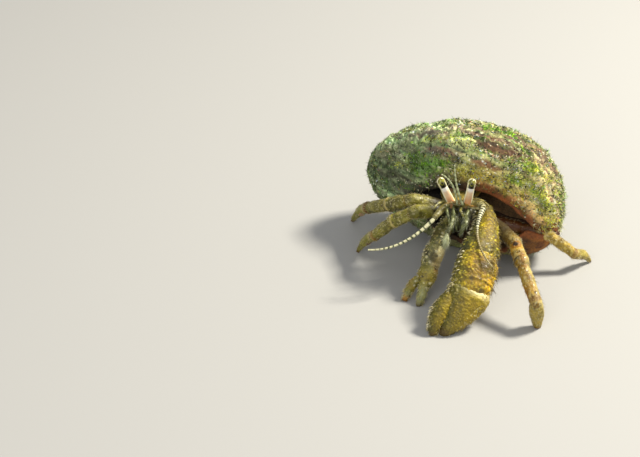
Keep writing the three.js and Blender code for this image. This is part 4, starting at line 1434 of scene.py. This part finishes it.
def build_eyes():
    for side, line in EYES.items():
        stalk = limb_grid(part_of(line, EYE_SIZES, 0, CORNEA_START), 70, 56)
        stalk = raise_by(stalk, 0.012 * noise(stalk.points, 0.5, 70))
        across, ahead, along = np.abs(np.cos(stalk.turn)), np.sin(stalk.turn), stalk.along
        paint = layers(
            mix("dca06c", "e8c8a0", step(0.2, 0.75, along + 0.05 * noise(stalk.points, 0.4, 71))),
            ("f2ece2", step(0.72, 0.9, along)),
            ("f2ecc6", step(0.66, 0.78, across)),
            ("14120c", step(0.3, 0.12, ahead) * step(-0.3, -0.1, ahead)),
            ("c2a274", step(-0.2, -0.4, ahead)),
            ("a87a44", 0.5 * step(0.08, 0.0, along)),
        )
        add_limb_piece(f"eyestalk_{side}", stalk, paint, "stalk", "eyestalk")
        cap = limb_grid(part_of(line, EYE_SIZES, CORNEA_START - 0.02, 1), 44, 64, cap=18)
        cap = raise_by(cap, 0.03 * step(0.0, 0.25, cap.along))
        across, ahead, along = np.cos(cap.turn), np.sin(cap.turn), cap.along
        lens = np.hypot(across / 1.1, (along - 1.15) / 0.95)
        pupil = hump(along, 1.0, 0.2) * hump(across, 0.0, 0.3) * step(0.2, 0.5, ahead)
        edge = step(0.62, 0.78, np.abs(across)) * step(1.15, 0.95, along)
        edge = np.maximum(edge, step(0.42, 0.2, cap.front))
        paint = layers(
            mix("a19c38", "5c5a20", 0.5 + 0.8 * noise(cap.points, 0.25, 72)),
            ("0a0906", step(0.5, 0.62, lens) * step(1.0, 0.8, along) * step(0.0, 0.2, ahead)),
            ("0f0d08", 1.4 * pupil),
            ("ebe4b6", edge),
            ("efe9d6", step(0.1, 0.03, along)),
            ("a3915e", step(-0.1, -0.3, cap.front)),
        )
        add_limb_piece(f"cornea_{side}", cap, paint, "cornea", "cornea")


# ---------- feelers and mouthparts ----------

# Start, middle and end, then the widths at root and tip, as in the solids.
FEELERS = {
    "antenna_right_base": ([-3.2, 2.0, 12.1], [-4.2, 0.6, 11.95], [-5.07, -0.6, 11.56], 1.1, 0.85),
    "antenna_right_whip": ([-5.4, -0.95, 11.25], [-9.98, -3.2, 8.67], [-14.8, -3.4, 7.62], 0.75, 0.5),
    "antenna_left_base": ([0.9, 2.0, 12.3], [1.6, 0.9, 12.8], [1.9, 0.0, 12.95], 1.2, 1.0),
    "antenna_left_whip": ([1.85, -0.75, 12.9], [0.75, -6.2, 11.3], [2.5, -10.9, 9.3], 0.75, 0.5),
    "antennule_right": ([-1.75, 1.2, 12.7], [-2.6, 0.5, 16.2], [-4.3, -0.6, 18.6], 0.6, 0.5),
    "antennule_left": ([-0.95, 1.1, 12.7], [-2.0, 0.5, 16.2], [-2.5, -0.4, 20.0], 0.6, 0.5),
    "maxilliped_right": ([-2.4, 1.0, 11.2], [-2.6, -1.6, 11.3], [-3.3, -2.4, 10.2], 1.0, 0.8),
    "maxilliped_right_palp": ([-3.4, -2.6, 9.7], [-3.6, -3.3, 8.9], [-3.8, -3.6, 8.1], 0.9, 0.6),
    "maxilliped_left": ([-0.6, 0.9, 11.2], [-0.6, -2.1, 11.3], [-1.5, -2.3, 9.5], 1.0, 0.55),
}
# The same for the small parts of the face, then a dark and a pale colour.
MOUTHPARTS = [
    ([-2.9, 1.9, 12.0], [-3.25, -0.2, 12.0], [-2.33, -1.0, 9.25], 0.42, 0.26, "444a2c", "a3aa7a"),
    ([-2.2, 1.8, 11.8], [-2.3, -0.1, 11.9], [-1.75, -0.6, 9.15], 0.45, 0.28, "3c4228", "8d9468"),
    ([0.1, 1.8, 11.6], [-0.55, -0.4, 11.3], [-1.3, -0.9, 9.1], 0.5, 0.28, "484e30", "aab084"),
    ([-1.0, 1.8, 11.6], [-1.3, 0.0, 12.2], [-0.7, -0.3, 11.2], 0.4, 0.24, "6a6432", "b4ae68"),
    ([-1.7, 1.8, 11.0], [-2.0, 0.2, 11.0], [-1.5, -0.2, 9.9], 0.7, 0.5, "33351f", "6d7048"),
    ([-0.9, 1.8, 10.6], [-0.9, 0.3, 10.6], [-1.3, -0.1, 9.5], 0.7, 0.5, "2f311c", "686a42"),
    ([-0.6, 2.0, 12.4], [0.5, 1.1, 12.4], [1.75, 0.8, 12.75], 0.42, 0.2, "7a5a26", "b88c3e"),
    ([-0.3, 2.0, 12.1], [0.7, 1.0, 12.2], [1.6, 0.5, 12.4], 0.45, 0.25, "a89a6a", "efe6c8"),
    ([-1.9, 2.0, 12.6], [-2.6, 1.3, 12.9], [-3.5, 1.1, 12.8], 0.42, 0.2, "7a5a26", "cdb07c"),
    ([0.9, 2.4, 12.6], [1.9, 1.0, 13.3], [2.7, -0.3, 13.2], 0.7, 0.2, "6e6234", "c6b680"),
    ([-3.3, 2.4, 12.4], [-4.4, 1.2, 12.9], [-5.3, -0.1, 12.6], 0.65, 0.2, "5f5c34", "b3ac78"),
    ([-1.6, 2.6, 12.4], [-1.5, 1.3, 12.9], [-1.4, 0.8, 12.9], 0.6, 0.2, "8a6a34", "c3ac74"),
]
WHIPS = {"right": [[0, 0.62, 0.62], [0.3, 0.46, 0.46], [1, 0.24, 0.24]],
         "left": [[0, 0.85, 0.8], [0.14, 0.66, 0.62], [0.34, 0.4, 0.4], [1, 0.2, 0.2]]}
PALP_SIZES = [[0, 0.5, 0.5], [0.45, 0.95, 0.7], [1, 0.3, 0.3]]
# The visible widths at root and tip, as shares of the solids'.
SLIMNESS = {"whip": (0.7, 0.45), "antennule": (0.55, 0.3), "maxilliped": (0.6, 0.5), "base": (1.0, 1.0)}
WHIP_MESH, FEELER_MESH = (150, 16), (60, 28)


def feeler_shape(start, middle, end, root, tip):
    """A cone that bends so that its line passes through the middle."""
    return cone(start, end, root, tip, np.array(middle) - (np.array(start) + np.array(end)) / 2)


def whip_paint(grid, left):
    """The pale and dark bands of an antenna's whip."""
    p, along = grid.plain, grid.along
    wave = np.sin(along * grid.length * 2 * np.pi / (0.4 if left else 0.74) + 2.0 * noise(p, 0.9, 79))
    wave = wave + 0.6 * noise(p, 0.4, 80)
    band = np.maximum(step(0.0, 0.5, wave) if left else step(-0.7, -0.2, wave), 0.8 * step(0.75, 1, along))
    return layers(
        "2e2814" if left else "3c4426",
        ("e4e2c8", band),
        ("6a6238", 0.7 * step(0.2, -0.6, grid.front)),
        ("8f7a3c", 0.75 * step(0.3, 0.5, along) * left),
    )


def base_paint(grid, left):
    """The grainy base of an antenna, striped near its end."""
    stripe = step(0.1, 0.6, np.sin(grid.along * grid.length * 2 * np.pi / 0.5 + noise(grid.plain, 0.5, 78)))
    near = step(0.45, 0.7, grid.along) * (1.0 if left else 0.25)
    return layers(
        plate_paint(grid, "807640", "453f22", "beb584", seed=11),
        *grains(grid, "221f10", "d6d2a4", 0.32, 12),
        ("e2dab0", 0.8 * stripe * near),
        ("2a2412", 0.6 * (1 - stripe) * near),
    )


def build_feelers():
    for name, (start, middle, end, root, tip) in FEELERS.items():
        kind = next(k for k in SLIMNESS if k in name)
        whip, palp, left = kind == "whip", name.endswith("palp"), "left" in name
        slim_root, slim_tip = SLIMNESS[kind]
        shape = feeler_shape(start, middle, end, slim_root * root, slim_tip * tip)
        if palp:
            shape["sizes"] = PALP_SIZES
        if whip:
            shape["sizes"] = WHIPS[name.split("_")[1]]
        grid = limb_grid(shape, *(WHIP_MESH if whip else FEELER_MESH))
        bead = np.abs(np.sin(np.pi * grid.along * grid.length / (0.31 if whip else 0.9)))
        grid = raise_by(grid, (0.03 if whip else 0.035) * (bead - 0.5) * (kind != "base"))
        if whip:
            paint = whip_paint(grid, left)
        elif kind == "antennule":
            paint = mix("8f9c78", "cfd6bc", bead)
        elif kind == "base":
            grid = raise_by(grid, granules(grid.plain, 0.35, 0.07, 82))
            paint = base_paint(grid, left)
        else:
            paint = layers(
                mix("ccd2ae" if palp else "6b7048", "3f4428", 0.5 * step(0.2, 0.7, np.cos(3 * grid.turn))),
                ("d0d4b0", 0.6 * step(0.2, 0.8, noise(grid.plain, 0.4, 81))),
            )
        add_limb_piece(name, grid, paint * [0.82, 0.8, 0.62], "feeler", "feelers")
        grid.cell = next(atlas_cells)
        if kind == "maxilliped":
            bristle("bristles_face", grid, 170, (0.3, 0.9), 0.9, None, ("5d6040", "d0d2aa"), 0.035)
        elif not whip:
            bristle("bristles_face", grid, 60, (0.12, 0.35), 0.6, None, ("8d8f66", "d6d8b4"), 0.035)


def build_mouthparts():
    """The small parts between the eyes and the mouth, as one piece."""
    grids, paints = [], []
    cell = next(atlas_cells)
    for k, (start, middle, end, root, tip, dark, pale) in enumerate(MOUTHPARTS):
        grid = limb_grid(feeler_shape(start, middle, end, root, tip), 40, 20)
        joints = np.abs(np.sin(grid.along * 3 * np.pi))
        grid = raise_by(grid, 0.04 * (joints - 0.5) + granules(grid.points, 0.25, 0.03, 83))
        paint = mix(dark, pale, 0.1 + 0.5 * joints + 0.6 * noise(grid.points, 0.35, 84 + k))
        paints.append(with_poles(paint))
        grid.cell = cell
        bristle("bristles_face", grid, 60, (0.15, 0.5), 0.9, None, ("6d6f46", "d6d8b4"), 0.035)
        grids.append(grid)
    points, faces = join_grids(grids)
    paint = np.concatenate(paints) * [0.75, 0.73, 0.5]
    add_mesh("mouthparts", points, faces, paint, MATERIALS["feeler"], slot="feelers")


# ---------- stage ----------

CAMERA = np.array([-23.18, -225.124, 136.95]) / 1000
CAMERA_LENS, CAMERA_SENSOR, CAMERA_CLIP = 97.5, 36, 0.005
CAMERA_TILT = 60  # degrees up from straight down
FLOOR_SIZE = 6
FLOOR_COLOUR, FLOOR_ROUGHNESS = (0.42, 0.41, 0.385, 1), 0.9
WORLD_COLOUR, WORLD_STRENGTH = (0.92, 0.94, 0.98, 1), 0.45
LIGHT_AIM = (0, 0, 0.008)
# name: place, size, power in watts, colour
LIGHTS = {
    "key": ((0.25, 0.06, 0.33), 0.08, 3.2, (1.0, 0.96, 0.86)),
    "fill": ((-0.12, -0.36, 0.25), 0.25, 0.7, (0.95, 0.97, 1.0)),
}


def build_stage():
    scene = bpy.context.scene
    bpy.ops.mesh.primitive_plane_add(size=FLOOR_SIZE)
    floor = bpy.context.object
    floor.name = "floor"
    made = bpy.data.materials.new("floor")
    made.use_nodes = True
    shader = made.node_tree.nodes["Principled BSDF"]
    shader.inputs["Base Color"].default_value = FLOOR_COLOUR
    shader.inputs["Roughness"].default_value = FLOOR_ROUGHNESS
    floor.data.materials.append(made)
    view = bpy.data.cameras.new("camera")
    view.lens, view.sensor_width, view.clip_start = CAMERA_LENS, CAMERA_SENSOR, CAMERA_CLIP
    camera = new_object("camera", view)
    camera.location = CAMERA
    camera.rotation_euler = (math.radians(CAMERA_TILT), 0, 0)
    scene.camera = camera
    for name, (place, size, power, colour) in LIGHTS.items():
        light = bpy.data.lights.new(name, "AREA")
        light.size, light.energy, light.color = size, power, colour
        lamp = new_object(name, light)
        lamp.location = place
        lamp.rotation_euler = (Vector(LIGHT_AIM) - Vector(place)).to_track_quat("-Z", "Y").to_euler()
    world = bpy.data.worlds.new("studio")
    world.use_nodes = True
    world.node_tree.nodes["Background"].inputs["Color"].default_value = WORLD_COLOUR
    world.node_tree.nodes["Background"].inputs["Strength"].default_value = WORLD_STRENGTH
    scene.world = world
    scene.view_settings.view_transform = "Standard"


# ---------- assembly ----------

shell_grid = build_shell()
clothe_shell(shell_grid)
build_skin()
build_shield()
build_gripping_legs()
for limb in LEG_WIDTHS:
    build_leg(limb)
for limb in CLAWS:
    build_claw(limb)
build_eyes()
build_feelers()
build_mouthparts()
for coat in list(strands):
    if coat.startswith("shell"):
        build_coat(coat, MATERIALS["algae"], "shell")
    else:
        build_coat(coat, MATERIALS["bristle"], "legs")
build_stage()
